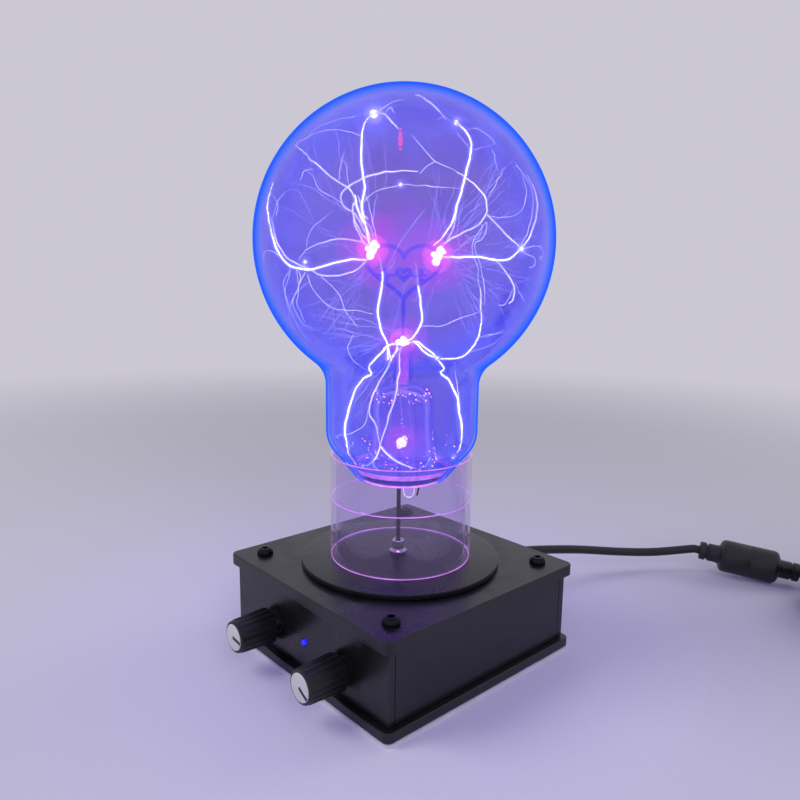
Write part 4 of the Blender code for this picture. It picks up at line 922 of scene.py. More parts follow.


# Discharge threads, read from the photo: relative width, depth shares at both ends, picture points
STRONG, MEDIUM, THIN, FAINT = 1.0, 0.62, 0.36, 0.22
THREADS = (
    (STRONG, 0.0, 0.6, ((370, 247.5), (364.5, 225), (362.5, 205), (363.5, 182.5), (361.5, 150),
        (363, 128.8), (367.5, 120), (373.8, 113.8))),
    (STRONG, 0.0, 0.3, ((370, 240), (363.8, 225), (358.8, 211.3), (355, 195))),
    (MEDIUM, 0.0, 0.4, ((368, 247), (362.5, 240), (355, 225), (352.5, 207.5))),
    (MEDIUM, 0.0, 0.7, ((365, 232), (355, 215), (345, 207.5), (341.3, 200), (341.3, 195), (347.5, 187.5),
        (362.5, 178.8), (385, 172.5), (417.5, 171.3))),
    (MEDIUM, 0.0, 0.9, ((362, 225), (355, 200), (347.5, 188.8), (332.5, 177.5), (315, 162.5),
        (295, 145))),
    (THIN, 0.3, 0.8, ((352.5, 212.5), (337.5, 200), (320, 190), (312.5, 175), (305, 170))),
    (THIN, 0.8, 0.9, ((312.5, 168.8), (303.8, 171.3), (300, 180))),
    (THIN, 0.2, 0.7, ((338.8, 180), (341.3, 162.5), (345, 150))),
    (THIN, 0.1, 0.6, ((355, 200), (347.5, 182.5), (347.5, 167.5), (341.3, 158.8))),
    (MEDIUM, 0.0, -0.6, ((370, 245), (352.5, 240), (332.5, 240), (317.5, 243.8), (306.3, 250))),
    (THIN, -0.5, -0.8, ((306.3, 247.5), (307.5, 237.5), (312.5, 227.5), (325, 217.5), (332.5, 211.3))),
    (THIN, -0.5, -0.8, ((306.3, 249), (298.8, 260))),
    (STRONG, 0.0, 0.9, ((367.5, 260), (350, 260), (332.5, 263.8), (312.5, 268.8), (295, 267.5),
        (282.5, 257.5), (272.5, 237.5), (268, 215), (267, 195), (270, 182.5))),
    (MEDIUM, 0.5, 0.9, ((305, 268), (290, 260), (277.5, 242.5), (271.3, 217.5))),
    (MEDIUM, 0.0, 0.5, ((367.5, 261.3), (352.5, 272.5), (337.5, 275.8), (320, 273.8), (302.5, 265))),
    (THIN, 0.4, 0.8, ((296.3, 268.8), (298.8, 287.5), (297.5, 305), (305, 322.5))),
    (THIN, 0.3, 0.8, ((290, 272.5), (285, 295), (290, 315), (295, 332.5))),
    (THIN, 0.4, 0.8, ((305, 272.5), (290, 307.5), (288.8, 320))),
    (THIN, 0.3, 0.9, ((307.5, 275), (315, 292.5), (330, 307.5), (350, 310), (372.5, 313.8))),
    (THIN, 0.3, 0.9, ((320, 275), (337.5, 292.5), (347.5, 312.5), (357.5, 327.5))),
    (THIN, 0.7, 0.9, ((260, 260), (265, 251.3), (275, 252.5), (282.5, 260))),
    (FAINT, -0.5, -0.9, ((270, 225), (280, 197.5), (295, 190), (305, 202.5), (312.5, 222.5))),
    (THIN, 0.6, 0.9, ((355, 116.3), (337.5, 120), (317.5, 128.8), (295, 147.5))),
    (THIN, 0.6, 0.9, ((361, 136), (350, 132.5), (330, 130), (312.5, 135), (295, 145))),
    (MEDIUM, 0.6, 0.9, ((373.8, 113.8), (385, 115), (392.5, 122.5), (398, 128.8))),
    (THIN, 0.6, 0.9, ((385, 115), (390, 107.5), (395, 112.5))),
    (THIN, 0.6, 0.8, ((373.8, 113.8), (377.5, 111), (390, 102.5), (405, 100))),
    (MEDIUM, -0.6, -0.9, ((420, 95), (432.5, 97.5), (442.5, 107.5), (456.3, 122.5))),
    (THIN, -0.6, -0.8, ((437.5, 120), (445, 116.3), (456.3, 122.5))),
    (STRONG, -0.6, 0.0, ((456.3, 122.5), (466.3, 132.5), (470.8, 147.5), (467.5, 170), (460, 195),
        (452.5, 222.5), (442.5, 237.5), (433.8, 245))),
    (MEDIUM, -0.3, 0.0, ((456.3, 205), (453.8, 225), (450, 237), (438, 248))),
    (THIN, -0.6, -0.8, ((457.5, 132.5), (470, 149.5))),
    (THIN, -0.6, -0.8, ((466.3, 130), (480, 130), (498.8, 141.3), (492.5, 146.3), (470, 149.5))),
    (MEDIUM, 0.0, 0.9, ((442.5, 245), (457.5, 235), (477.5, 225), (486.3, 215), (486.3, 200), (475, 185),
        (457.5, 172.5))),
    (THIN, 0.8, 0.95, ((457.5, 172.5), (435, 161.3), (425, 150), (412.5, 135))),
    (THIN, 0.8, 0.95, ((435, 161.3), (425, 167.5), (420, 173.8))),
    (THIN, 0.3, 0.9, ((362.5, 205), (367.5, 197.5), (380, 190), (400, 185), (420, 185), (445, 187.5),
        (462.5, 188.8))),
    (THIN, 0.0, 0.5, ((442.5, 245), (475, 226.3), (481.3, 225), (478.8, 237.5), (471.3, 239.5),
        (465, 235))),
    (STRONG, 0.0, 0.85, ((441.3, 256.3), (457.5, 257), (477.5, 256.3), (495, 260), (510, 258.8),
        (521.3, 248.8))),
    (MEDIUM, 0.85, 0.95, ((521.3, 248.8), (530, 235), (536.3, 215), (535, 192.5), (527.5, 175))),
    (MEDIUM, 0.5, 0.85, ((487.5, 215), (497.5, 225), (510, 237.5), (521.3, 248.8))),
    (THIN, 0.5, 0.95, ((491.3, 216.3), (507.5, 217.5), (520, 211.3), (526.3, 192.5), (522.5, 175))),
    (THIN, 0.9, 0.95, ((537.5, 246.3), (541.3, 250))),
    (THIN, 0.9, 0.95, ((540, 256.3), (542.5, 261))),
    (MEDIUM, 0.4, 0.9, ((495, 260), (505, 270), (513.8, 285), (513.8, 300), (508.8, 303.8))),
    (THIN, 0.6, 0.9, ((515, 282.5), (525, 302.5))),
    (THIN, 0.75, 0.85, ((486, 222), (480, 229), (473.5, 240), (471.5, 250), (477, 268), (480.5, 290))),
    (THIN, 0.8, 0.85, ((487, 222), (486, 232), (480, 240), (474, 243), (479, 262), (484, 285),
        (484.5, 305))),
    (MEDIUM, 0.6, 0.85, ((481.5, 322), (481.3, 305), (480, 288))),
    (STRONG, 0.0, 0.6, ((406, 341), (417.3, 343.8), (428.2, 354), (436.5, 358), (450, 358.6),
        (465, 354.5), (478, 339), (481.5, 322))),
    (THIN, 0.3, 0.9, ((505, 167.5), (495, 185), (487.5, 200))),
    (THIN, 0.7, 0.9, ((492.5, 150), (497.5, 170))),
    (STRONG, 0.0, 0.2, ((382.5, 272), (382, 290), (378, 307.5), (380, 327.5), (387.5, 344.5),
        (390.5, 358))),
    (THIN, 0.0, 0.2, ((376, 254), (381, 263), (382.5, 275))),
    (STRONG, 0.0, 0.2, ((418, 284), (421, 303), (422, 318), (420, 328), (413.4, 337.5), (406, 341))),
    (THIN, 0.0, 0.2, ((414.5, 262), (416, 272), (418, 286))),
    (STRONG, 0.1, 0.15, ((386.6, 345.7), (387.5, 352), (388.5, 358.5), (392, 360.5))),
    (STRONG, 0.1, 0.15, ((397, 344.5), (396.3, 349), (394, 355), (391, 361))),
    (MEDIUM, 0.1, 0.2, ((388.2, 350.8), (391.5, 357), (395, 353), (400.5, 347.5))),
    (MEDIUM, 0.1, 0.2, ((403, 344), (399.5, 351), (399.6, 359))),
    (THIN, 0.3, 0.9, ((422.5, 326.3), (445, 325), (460, 317.5), (477.5, 312.5))),
    (THIN, 0.5, 0.9, ((485, 337.5), (505, 330))),
    (FAINT, 0.0, 0.3, ((395, 260), (387.5, 272.5))),
    (FAINT, 0.2, 0.4, ((425, 210), (410, 227.5), (397.5, 247.5), (382.5, 280))),
    (STRONG, 0.0, 0.9, ((406, 341), (397, 344), (386.6, 345.5), (382, 352), (368.5, 367.5), (371.5, 374),
        (362, 380.6), (352.9, 394.4), (347.5, 415.9), (345.2, 437.3), (344.4, 457.3), (346.7, 465))),
    (MEDIUM, 0.1, 0.8, ((390.4, 360.7), (385, 372.9), (375.9, 388.3), (369.7, 406.7), (370.5, 415),
        (376, 427), (380, 446.5))),
    (MEDIUM, 0.8, 0.85, ((380, 446.5), (375, 459), (366.7, 466.5))),
    (MEDIUM, 0.8, 0.9, ((380.5, 446.5), (394.3, 460.3), (412.7, 468))),
    (MEDIUM, 0.2, 0.9, ((399.6, 359), (397.3, 386.7), (391.2, 411.3), (383.5, 434.3), (380, 446))),
    (STRONG, 0.0, 0.8, ((406, 341), (419, 342.5), (431, 351.5), (438.7, 360.7), (443.8, 369.5),
        (440, 373), (449.5, 380.6), (456.4, 395.9), (460.2, 415.9), (461.7, 437.3), (459.4, 451),
        (460.2, 458.8))),
    (MEDIUM, 0.0, 0.3, ((372, 246), (366, 232), (362, 216), (361, 203), (358, 196))),
    (MEDIUM, 0.0, 0.5, ((370, 243), (359, 230), (353, 213), (354, 203), (359, 211), (368, 219))),
    (THIN, 0.1, 0.4, ((377, 243), (373, 220), (367, 200), (362, 190))),
    (MEDIUM, 0.0, 0.0, ((384.3, 431), (387, 431.5), (389.8, 431))),
    (THIN, 0.0, 0.0, ((408, 433), (412, 434.5), (416.5, 430.5))),
    (THIN, 0.0, 0.3, ((374, 245), (371, 230), (364, 218), (363, 206))),
    (THIN, 0.3, 0.8, ((276, 215), (278, 203), (270, 190), (266, 180))),
    (THIN, 0.6, 0.9, ((291, 268), (284, 280), (286, 297), (300, 330), (310, 342))),
    (THIN, 0.6, 0.9, ((296, 268), (301, 280), (293, 303), (301, 321), (312, 328))),
    (THIN, 0.8, 0.9, ((353, 335), (348, 348), (352, 358), (366, 370))),
    (THIN, 0.8, 0.95, ((516, 165), (527, 178), (533, 196), (531, 220), (521, 247))),
    (THIN, 0.8, 0.95, ((521.3, 250), (527, 254), (534, 257), (535, 264), (529, 268))),
    (THIN, 0.8, 0.95, ((521.3, 249), (533, 246.5), (541, 247.5), (543, 255), (538, 260))),
    (THIN, 0.6, 0.9, ((515, 286), (507, 303), (498, 305))),
    (THIN, 0.5, 0.8, ((454.5, 362), (458, 385), (460, 410))),
    (THIN, 0.5, 0.9, ((479, 338), (492, 334), (508, 333))),
    (THIN, 0.5, 0.9, ((470, 352), (490, 345), (500, 338), (512, 330))),
    (THIN, 0.85, 0.9, ((333, 436.4), (346, 434.5), (360, 428), (366, 420), (368, 409))),
    (THIN, 0.8, 0.9, ((344.4, 452), (350, 463), (357, 467.5))),
    (THIN, 0.8, 0.9, ((379, 448), (373, 461), (362, 468.5))),
    (THIN, 0.8, 0.9, ((374, 459), (374, 466), (379, 472))),
    (THIN, 0.8, 0.9, ((382.7, 446.7), (390, 455), (402, 463.6), (419, 469.7))),
    (THIN, 0.8, 0.9, ((430, 457.6), (426.4, 465), (419, 468.5))),
    (THIN, 0.8, 0.9, ((461, 440), (465, 449), (459, 458), (450, 463))),
    (THIN, 0.85, 0.9, ((345.5, 440), (350, 446), (354, 443))),
)
LOBES = ((372, 250), (438, 256))
# Small bursts on the glass: picture point, depth share and relative size
STARS = (
    (373.8, 113.8, 0.6, 2.5), (456.3, 122.5, -0.6, 1.7), (521.3, 248.8, 0.85, 1.1), (400.5, 184.5, 0.75, 0.7),
    (459, 458, 0.85, 1.0), (363, 466, 0.85, 0.8), (305, 262, 0.6, 0.8), (405.8, 340, 0.1, 1.5),
    (388.2, 358.5, 0.15, 1.0), (437, 358, 0.5, 1.0))
# White marks inside the glows: steps sideways and up, and radius, in millimetres
LOBE_MARKS = ((0, 0, 1.9), (0.9, 2.3, 1.5), (-0.7, -2.2, 1.6), (2.2, 1.6, 0.9), (-1.8, 0.6, 1))
PINCH_MARKS = ((0, 0, 1.7), (-1.8, 0, 1.1), (1.6, 0, 1), (0, 1.6, 0.9))
SPOT_MARKS = ((1.2, 1.8, 1.2), (-0.8, -1.3, 1.3))
# Orange sparks: height in the picture and radius in millimetres
SPARK_X = 400.4
SPARKS = ((129, 0.5), (134, 0.75), (139, 0.95), (144, 0.8), (149, 0.45))
SPECKS = 260


def scatter(chance, spread, axes=3):
    """A random step, with a spread in millimetres along each of the first axes."""
    return Vector([chance.gauss(0, spread) for _ in range(axes)] + [0] * (3 - axes)) * MM


def wisp_paths(count, seed, width):
    """Faint side threads that leave the lobes and the pinch and wander to the glass, fixed by the seed."""
    chance = random.Random(seed)
    steps = 24
    paths = []
    for index in range(count):
        if index % 4 == 0:
            start = kept_inside(up(MOUTH_Z + 60 * MM) + scatter(chance, 3, 2))
            end_z = MOUTH_Z + chance.uniform(14, 74) * MM
        else:
            start = kept_inside(on_upright(*LOBES[index % 2]) + scatter(chance, 3))
            end_z = MOUTH_Z + chance.uniform(50, 152) * MM
        turn = VIEW_AZIMUTH + math.pi * (1 - index % 2) + chance.gauss(0, 0.8)
        wide = radius_at(BULB_INSIDE, min(end_z, BULB_INSIDE[1][1]))
        end = round_z(wide, turn, end_z)
        middle = start.lerp(end, 0.5) + scatter(chance, 7)
        path = []
        for step in range(steps + 1):
            t = step / steps
            path.append(kept_inside(start * (1 - t) ** 2 + middle * 2 * t * (1 - t) + end * t * t))
        begin = chance.randint(0, steps // 2)
        share = chance.uniform(0.35, 0.7)
        paths.append((share * width, path[begin:begin + chance.randint(8, steps + 1 - begin)]))
        if index % 3 == 0:
            turn += chance.uniform(-0.5, 0.5)
            far = round_z(wide, turn, end_z + chance.gauss(0, 9) * MM)
            paths.append((0.35 * width, [kept_inside(path[14].lerp(far, step / 10)) for step in range(11)]))
    return paths


def glitter_specks(seed):
    """Specks of light in the fused glass, at the stem's top and low on the stem and the bulb."""
    chance = random.Random(seed)
    specks = []
    for index in range(SPECKS):
        turn = chance.uniform(0, math.tau)
        high = chance.gauss(FLARE_TOP_Z - MOUTH_Z - 1 * MM, 1.6 * MM)
        low = chance.gauss(11 * MM, 2.5 * MM)
        level = MOUTH_Z + max(7 * MM, chance.choice((high, low)))
        on_glass = index % 3 == 0
        if on_glass and level > MOUTH_Z + 20 * MM:
            continue
        place = round_z(radius_at(BULB_INSIDE if on_glass else STEM_OUTSIDE, level), turn, level)
        specks.append((place, chance.uniform(0.1, 0.32) * MM))
    return specks


def shells(places, radii, steps):
    """Nested balls round each place: (place, radius) for each of the steps of its radius in millimetres."""
    return [(place, size * step * MM) for place, size in zip(places, radii) for step in steps]


class TRANSFORMER_OT_camera(Operator):
    """Place the photograph's camera."""
    bl_idname = "transformer.camera"
    bl_label = "Photograph camera"

    def execute(self, context):
        scene = context.scene
        data = bpy.data.cameras.new("photograph_camera")
        data.sensor_width = SENSOR_WIDTH
        data.lens = FOCAL_PIXELS * SENSOR_WIDTH / PICTURE_SIDE
        data.clip_start, data.clip_end = 10 * MM, 20
        camera = bpy.data.objects.new("photograph_camera", data)
        turn = Matrix((IMAGE_RIGHT, IMAGE_UP, -CAMERA_FORWARD)).transposed().to_4x4()
        camera.matrix_world = Matrix.Translation(CAMERA_PLACE) @ turn
        scene.collection.objects.link(camera)
        scene.camera = camera
        return {"FINISHED"}


def coil_line():
    """Centreline of the put-away lead: a piled coil that spirals in and out, layer by layer."""
    middle = Vector((132 * MM, 185 * MM, 0))
    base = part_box("lead_coil")[0].z + 2.25 * MM
    widest, pitch, layer_rise = 27.2 * MM, 5.2 * MM, 5 * MM
    layers, layer_turns, climb, steps = 4, 2, 0.25, 48
    points = []
    for index in range(layers * layer_turns * steps + 1):
        turn = index / steps
        phase = turn % (2 * layer_turns)
        radius = widest - pitch * min(phase, 2 * layer_turns - phase)
        level = sum(eased(min(1, max(0, (turn - layer * layer_turns + climb) / (2 * climb))))
                    for layer in range(1, layers))
        points.append(middle + round_z(radius, math.pi / 2 - math.tau * turn, base + layer_rise * level))
    return points


class TRANSFORMER_OT_lead(Operator):
    """Run the power lead from its plug through the choke and the tied coil to the adapter."""
    bl_idname = "transformer.lead"
    bl_label = "Power lead"

    def execute(self, context):
        chosen = settings("lead")
        plug = self.plug()
        relief = self.adapter_relief()
        adapter = self.adapter()
        blades = self.blades()
        choke, along, middle = self.choke()
        tie = self.tie()
        plug_end = Vector((0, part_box("dc_plug")[1].y + GRIP_GAP, SOCKET_Z))
        adapter_end = Vector((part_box("adapter_relief")[0].x - GRIP_GAP, *ADAPTER_AXIS))
        ahead = Vector((chosen.diameter, 0, 0))
        coil = coil_line()
        first = [plug_end, plug_end + Vector((0, chosen.diameter, 0))]
        first += placed((5, 98.6, 19), (12, 120.5, 15.5), (22.8, 143, 11.8), (34.5, 158.5, 11.2))
        first += [middle - along * (CHOKE_REACH + chosen.diameter / 2), middle - along * CHOKE_REACH]
        second = [middle + along * CHOKE_REACH, middle + along * (CHOKE_REACH + chosen.diameter)]
        second += placed((106.5, 205.6, 5.9), (114.5, 210, 4.4)) + [coil[0] - ahead, coil[0]]
        third = [coil[-1], coil[-1] + ahead] + placed((150, 212, 17.2), (162, 211.4, 15))
        third += [adapter_end - ahead, adapter_end]
        line = smooth_through(first, chosen.spacing) + smooth_through(second, chosen.spacing)
        line += coil[1:-1] + smooth_through(third, chosen.spacing)
        data = bpy.data.curves.new("power_cord", "CURVE")
        data.dimensions = "3D"
        data.bevel_depth = chosen.diameter / 2
        data.bevel_resolution = 4
        data.use_fill_caps = True
        spline = data.splines.new("POLY")
        spline.points.add(len(line) - 1)
        for point, place in zip(spline.points, line):
            point.co = (*place, 1)
        cord = bpy.data.objects.new("power_cord", data)
        context.scene.collection.objects.link(cord)
        data.materials.append(finish("cable"))
        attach(cord, "box")
        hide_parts("power_lead", "lead_to_coil", "lead_coil", "adapter_lead")
        print("cord length in mm:", round(run_length(line) / MM))
        return {"FINISHED"}

    def plug(self):
        """Grip with a chamfered front and a ribbed strain relief behind it."""
        low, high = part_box("dc_plug")
        shoulder = 54.9 * MM
        barrel = shoulder - low.y
        wide = (high.x - low.x) / 2
        profile = in_mm((
            (0, 25.85), (2.3, 25.85), (2.55, 25.5), (2.55, 24.6), (2.1, 24.4), (2.1, 23.3), (2.75, 23.1),
            (2.75, 22.0), (2.25, 21.8), (2.25, 20.6), (2.95, 20.4), (2.95, 19.2), (2.4, 19.0), (2.4, 17.8),
            (3.1, 17.6), (3.15, 16.2), (2.6, 16.0), (2.6, 14.6), (3.3, 14.4), (3.6, 14.05), (4.1, 13.7),
            (4.75, 12.4), (4.95, 11.2)))
        for index in range(5):
            top = (10.4 - 1.6 * index) * MM
            profile += [(wide, top), (wide, top - 0.9 * MM), (wide - 0.3 * MM, top - 1.05 * MM),
                        (wide - 0.3 * MM, top - 1.45 * MM)]
        profile += [(wide, 2.2 * MM), (wide, 0.5 * MM), (wide - 0.5 * MM, 0), (2.7 * MM, 0),
                    (2.7 * MM, -barrel + 0.3 * MM), (2.4 * MM, -barrel), (0, -barrel)]
        mesh = moved(lathe("plug_and_relief", profile, 48), stand((0, shoulder, SOCKET_Z), (0, 1, 0)))
        return put("plug_and_relief", mesh, "box", ["moulding"], ["dc_plug"])

    def choke(self):
        """Moulded ferrite choke: rounded barrel, groove and collar at each end and a parting line."""
        turn, tilt = math.radians(28), math.radians(6.5)
        level = math.cos(tilt)
        along = Vector((level * math.cos(turn), level * math.sin(turn), -math.sin(tilt)))
        middle = Vector((73.5, 187.8, 10.286)) * MM
        half = in_mm((
            (0, 24.85), (2.6, 24.85), (2.7, 24.7), (4.4, 24.7), (4.8, 24.3), (4.8, 21.9), (4.5, 21.6),
            (3.8, 21.6), (3.8, 20.6), (4.5, 20.6), (4.75, 20.2), (4.75, 16.2), (5.0, 15.2), (5.6, 14.65)))
        half += arc((5.9 * MM, 11.8 * MM), 2.7 * MM, math.pi / 2, 0, 6)
        half += [(8.6 * MM, 0.35 * MM), (8.45 * MM, 0.15 * MM)]
        profile = half + [(r, -z) for r, z in reversed(half)]
        mesh = moved(lathe("ferrite_sleeve", profile, 64), stand(middle, along))
        item = put("ferrite_sleeve", mesh, "box", ["moulding"], ["ferrite_choke"])
        return item, along, middle

    def tie(self):
        """Woven band round the bundle of turns, with its buckle end overlapping on the outside."""
        low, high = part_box("coil_tie")
        outer, inner = self.loop(low, high, 0.0), self.loop(low, high, 0.8 * MM)
        shape = bmesh.new()
        rings = [[shape.verts.new((x, y, z)) for y, z in ring] for ring, x in (
            (outer, low.x), (outer, high.x), (inner, high.x), (inner, low.x))]
        skin(shape, rings + rings[:1])
        mesh = meshed("cord_tie", shape, 40)
        return put("cord_tie", mesh, "box", ["tape"], ["coil_tie"])

    def loop(self, low, high, inset):
        """Rounded rectangle across the tie, moved inwards."""
        corner = 2.4 * MM
        points = []
        for y, z, start in ((high.y - corner, high.z - corner, 0), (low.y + corner, high.z - corner, 1),
                            (low.y + corner, low.z + corner, 2), (high.y - corner, low.z + corner, 3)):
            points += arc((y, z), corner - inset, start * math.pi / 2, (start + 1) * math.pi / 2, 6)
        return points

    def adapter_relief(self):
        """Ribbed strain relief where the lead leaves the adapter."""
        low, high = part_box("adapter_relief")
        base = [(0, 0), (4.4, 0), (4.4, 0.6)]
        for index in range(5):
            r = 4.3 - 0.2 * index
            z = 0.9 + 2.0 * index
            base += [(r - 0.7, z), (r - 0.7, z + 0.7), (r - 0.1, z + 0.9), (r - 0.15, z + 1.8)]
        length = high.x - low.x
        profile = in_mm(base) + [(3.0 * MM, length), (0, length)]
        mesh = moved(lathe("adapter_cord_relief", profile, 40), stand((high.x, *ADAPTER_AXIS), (-1, 0, 0)))
        return put("adapter_cord_relief", mesh, "box", ["moulding"], ["adapter_relief"])

    def adapter(self):
        """Plug-top adapter: two rounded shells with a seam between them and grip ribs on both flanks."""
        low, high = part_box("mains_adapter")
        low, high = low + Vector((0, 0.3 * MM, 0)), high - Vector((0, 0.3 * MM, 0))
        seam = low.x + (high.x - low.x) * 0.72
        groove = 0.25 * MM
        shells = [rounded_block("shell", low, (seam - groove, high.y, high.z), 2.6 * MM, 4),
                  rounded_block("face", (seam + groove, low.y, low.z), high, 1.4 * MM, 3),
                  rounded_block("core", (seam - 2 * MM, low.y + 0.6 * MM, low.z + 0.6 * MM),
                                (seam + 2 * MM, high.y - 0.6 * MM, high.z - 0.6 * MM), 0.5 * MM, 2)]
        corner = Vector((0.5, 0.3, 7)) * MM
        rib = rounded_block("rib", -corner, corner, 0.28 * MM, 2)
        ribs = grown("ribs", rib, row_tree, Count=7, Step=(3 * MM, 0, 0), Material=finish("adapter"))
        for flank, y in ((ribs, low.y + 0.1 * MM), (ribs.copy(), high.y - 0.1 * MM)):
            shells.append(moved(flank, Matrix.Translation((low.x + 8 * MM, y, (low.z + high.z) / 2))))
        mesh = merged("adapter_shell", shells)
        return put("adapter_shell", mesh, "box", ["adapter"], ["mains_adapter"])

    def blades(self):
        """Two flat blades with rounded tips."""
        nodes = ["adapter_blade_1", "adapter_blade_2"]
        meshes = [rounded_block("blade", *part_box(node), 0.6 * MM, 4) for node in nodes]
        return put("adapter_pins", merged("adapter_pins", meshes), "box", ["nickel"], nodes)


class TRANSFORMER_OT_case(Operator):
    """Finish the pieces that keep their solid shapes, and make the disc, the screws and the terminal."""
    bl_idname = "transformer.case"
    bl_label = "Driver box"

    kept = {
        "acrylic": ("top_plate", "bottom_plate", "front_panel", "rear_panel", "left_wall", "right_wall"),
        "foam": ("base_mat",),
        "aluminium": ("corner_sleeve_1", "corner_sleeve_2", "corner_sleeve_3", "corner_sleeve_4", "heatsink",
                      "pot_left", "pot_right"),
        "nickel": ("pot_nut_left", "pot_nut_right", "pot_shaft_left", "pot_shaft_right", "socket_nut",
                   "terminal_nut"),
        "epoxy": ("dc_socket", "power_transistor"),
        "circuit": ("circuit_board",),
        "ferrite": ("transformer_core",),
        "winding": ("primary_winding", "secondary_winding"),
        "sleeve": ("capacitor_1", "capacitor_2"),
        "silicone": ("hv_lead",),
        "lead wire": ("hv_rod",),
        "steel with painted glow": ("support_wire",),
    }

    def execute(self, context):
        for name, nodes in self.kept.items():
            for node in nodes:
                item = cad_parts[node]
                if not item.material_slots:
                    item.data.materials.append(None)
                for place in item.material_slots:
                    place.material = finish(name)
        self.disc()
        self.screws()
        self.terminal()
        return {"FINISHED"}

    def disc(self):
        """Polished acrylic disc under the tube, with a fine rounded edge."""
        low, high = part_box("top_disc")
        radius, edge = high.x, 0.35 * MM
        profile = [(0, high.z)] + arc((radius - edge, high.z - edge), edge, math.pi / 2, 0, 4)
        profile += arc((radius - edge, low.z + edge), edge, 0, -math.pi / 2, 4) + [(0, low.z)]
        mesh = lathe("acrylic_disc", profile, 160)
        put("acrylic_disc", mesh, "box", ["acrylic"], ["top_disc"])

    def screws(self):
        """Four button-head screws with hexagon sockets."""
        low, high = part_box("lid_screw_1")
        radius, shank, socket, sides = (high.x - low.x) / 2, 1.75 * MM, 1.45 * MM, 48
        base, floor = high.z - 2.3 * MM, high.z - 1.3 * MM
        profile = [(shank, low.z), (shank, base), (radius, base), (radius, base + 0.3 * MM)]
        profile += bend(profile[-1], (radius * 0.93, high.z), (socket * 1.3, high.z), 8)
        hexagon = []
        for index in range(sides):
            angle = math.tau * index / sides
            flat = socket * math.cos(math.pi / 6) / math.cos((angle % (math.pi / 3)) - math.pi / 6)
            hexagon.append((flat * math.cos(angle), flat * math.sin(angle)))
        shape = bmesh.new()
        rings = [[shape.verts.new((r * c, r * s, z)) for c, s in ring_of(sides)] for r, z in profile]
        rings += [[shape.verts.new((x, y, z)) for x, y in hexagon] for z in (high.z, floor)]
        skin(shape, rings)
        shape.faces.new(rings[0])
        shape.faces.new(rings[-1])
        one = meshed("button_screws", shape, 35)
        reach = math.hypot((low.x + high.x) / 2, (low.y + high.y) / 2)
        mesh = grown("button_screws", one, round_tree, Count=4, Radius=reach, Start=math.pi / 4,
                     Material=finish("black oxide"))
        put("button_screws", mesh, "box", ["black oxide"],
            ["lid_screw_1", "lid_screw_2", "lid_screw_3", "lid_screw_4"])

    def terminal(self):
        """Turned terminal: flange, cup with a rounded lip and the stud below."""
        low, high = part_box("hv_terminal")
        middle = (low + high) / 2
        wide = (high.x - low.x) / 2
        bore, stud, cup = 1.25 * MM, 1.5 * MM, 2.6 * MM
        flange = DISC_TOP_Z + 0.3 * MM
        profile = [(0, high.z - 3 * MM), (bore, high.z - 3 * MM), (bore, high.z - 0.3 * MM), (stud, high.z),
                   (cup - 0.4 * MM, high.z), (cup, high.z - 0.4 * MM), (cup, flange + 2 * MM),
                   (cup + 0.5 * MM, flange + 1.4 * MM), (wide - 0.3 * MM, flange + 1.3 * MM),
                   (wide, flange + 1.0 * MM), (wide, flange), (stud, flange), (stud, low.z), (0, low.z)]
        mesh = moved(lathe("turned_terminal", profile, 48), Matrix.Translation((middle.x, middle.y, 0)))
        put("turned_terminal", mesh, "box", ["nickel"], ["hv_terminal"])


class TRANSFORMER_OT_tube(Operator):
    """Make the two sections of clear tube with the light that their cut edges carry."""
    bl_idname = "transformer.tube"
    bl_label = "Clear tube"

    def execute(self, context):
        for name, node in (("clear_tube_lower", "tube_lower"), ("clear_tube_upper", "tube_upper")):
            low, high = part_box(node)
            outer, inner, edge = high.x, high.x - 2.3 * MM, 0.25 * MM
            profile = [(inner, high.z - edge), (inner + edge, high.z), (outer - edge, high.z),
                       (outer, high.z - edge), (outer, low.z + edge), (outer - edge, low.z),
                       (inner + edge, low.z), (inner, low.z + edge)]
            mesh = lathe(name, profile, 192, joined=True, marked={0, 1, 2, 4, 5, 6})
            put(name, mesh, "box", ["clear acrylic", "cut edge"], [node])
        middle, bead = outer - 0.35 * MM, 0.22 * MM
        lit = [bead_ring("edge_line", middle, level, bead, 8, 160)
               for level in (TUBE_LOW_Z + bead, JOINT_Z - 0.15 * MM)]
        put("edge_lines", merged("edge_lines", lit), "box", ["edge line"])
        rim = bead_ring("edge_line", middle, RIM_Z - bead, bead, 8, 160)
        put("rim_line", rim, "box", ["rim line"])
        return {"FINISHED"}


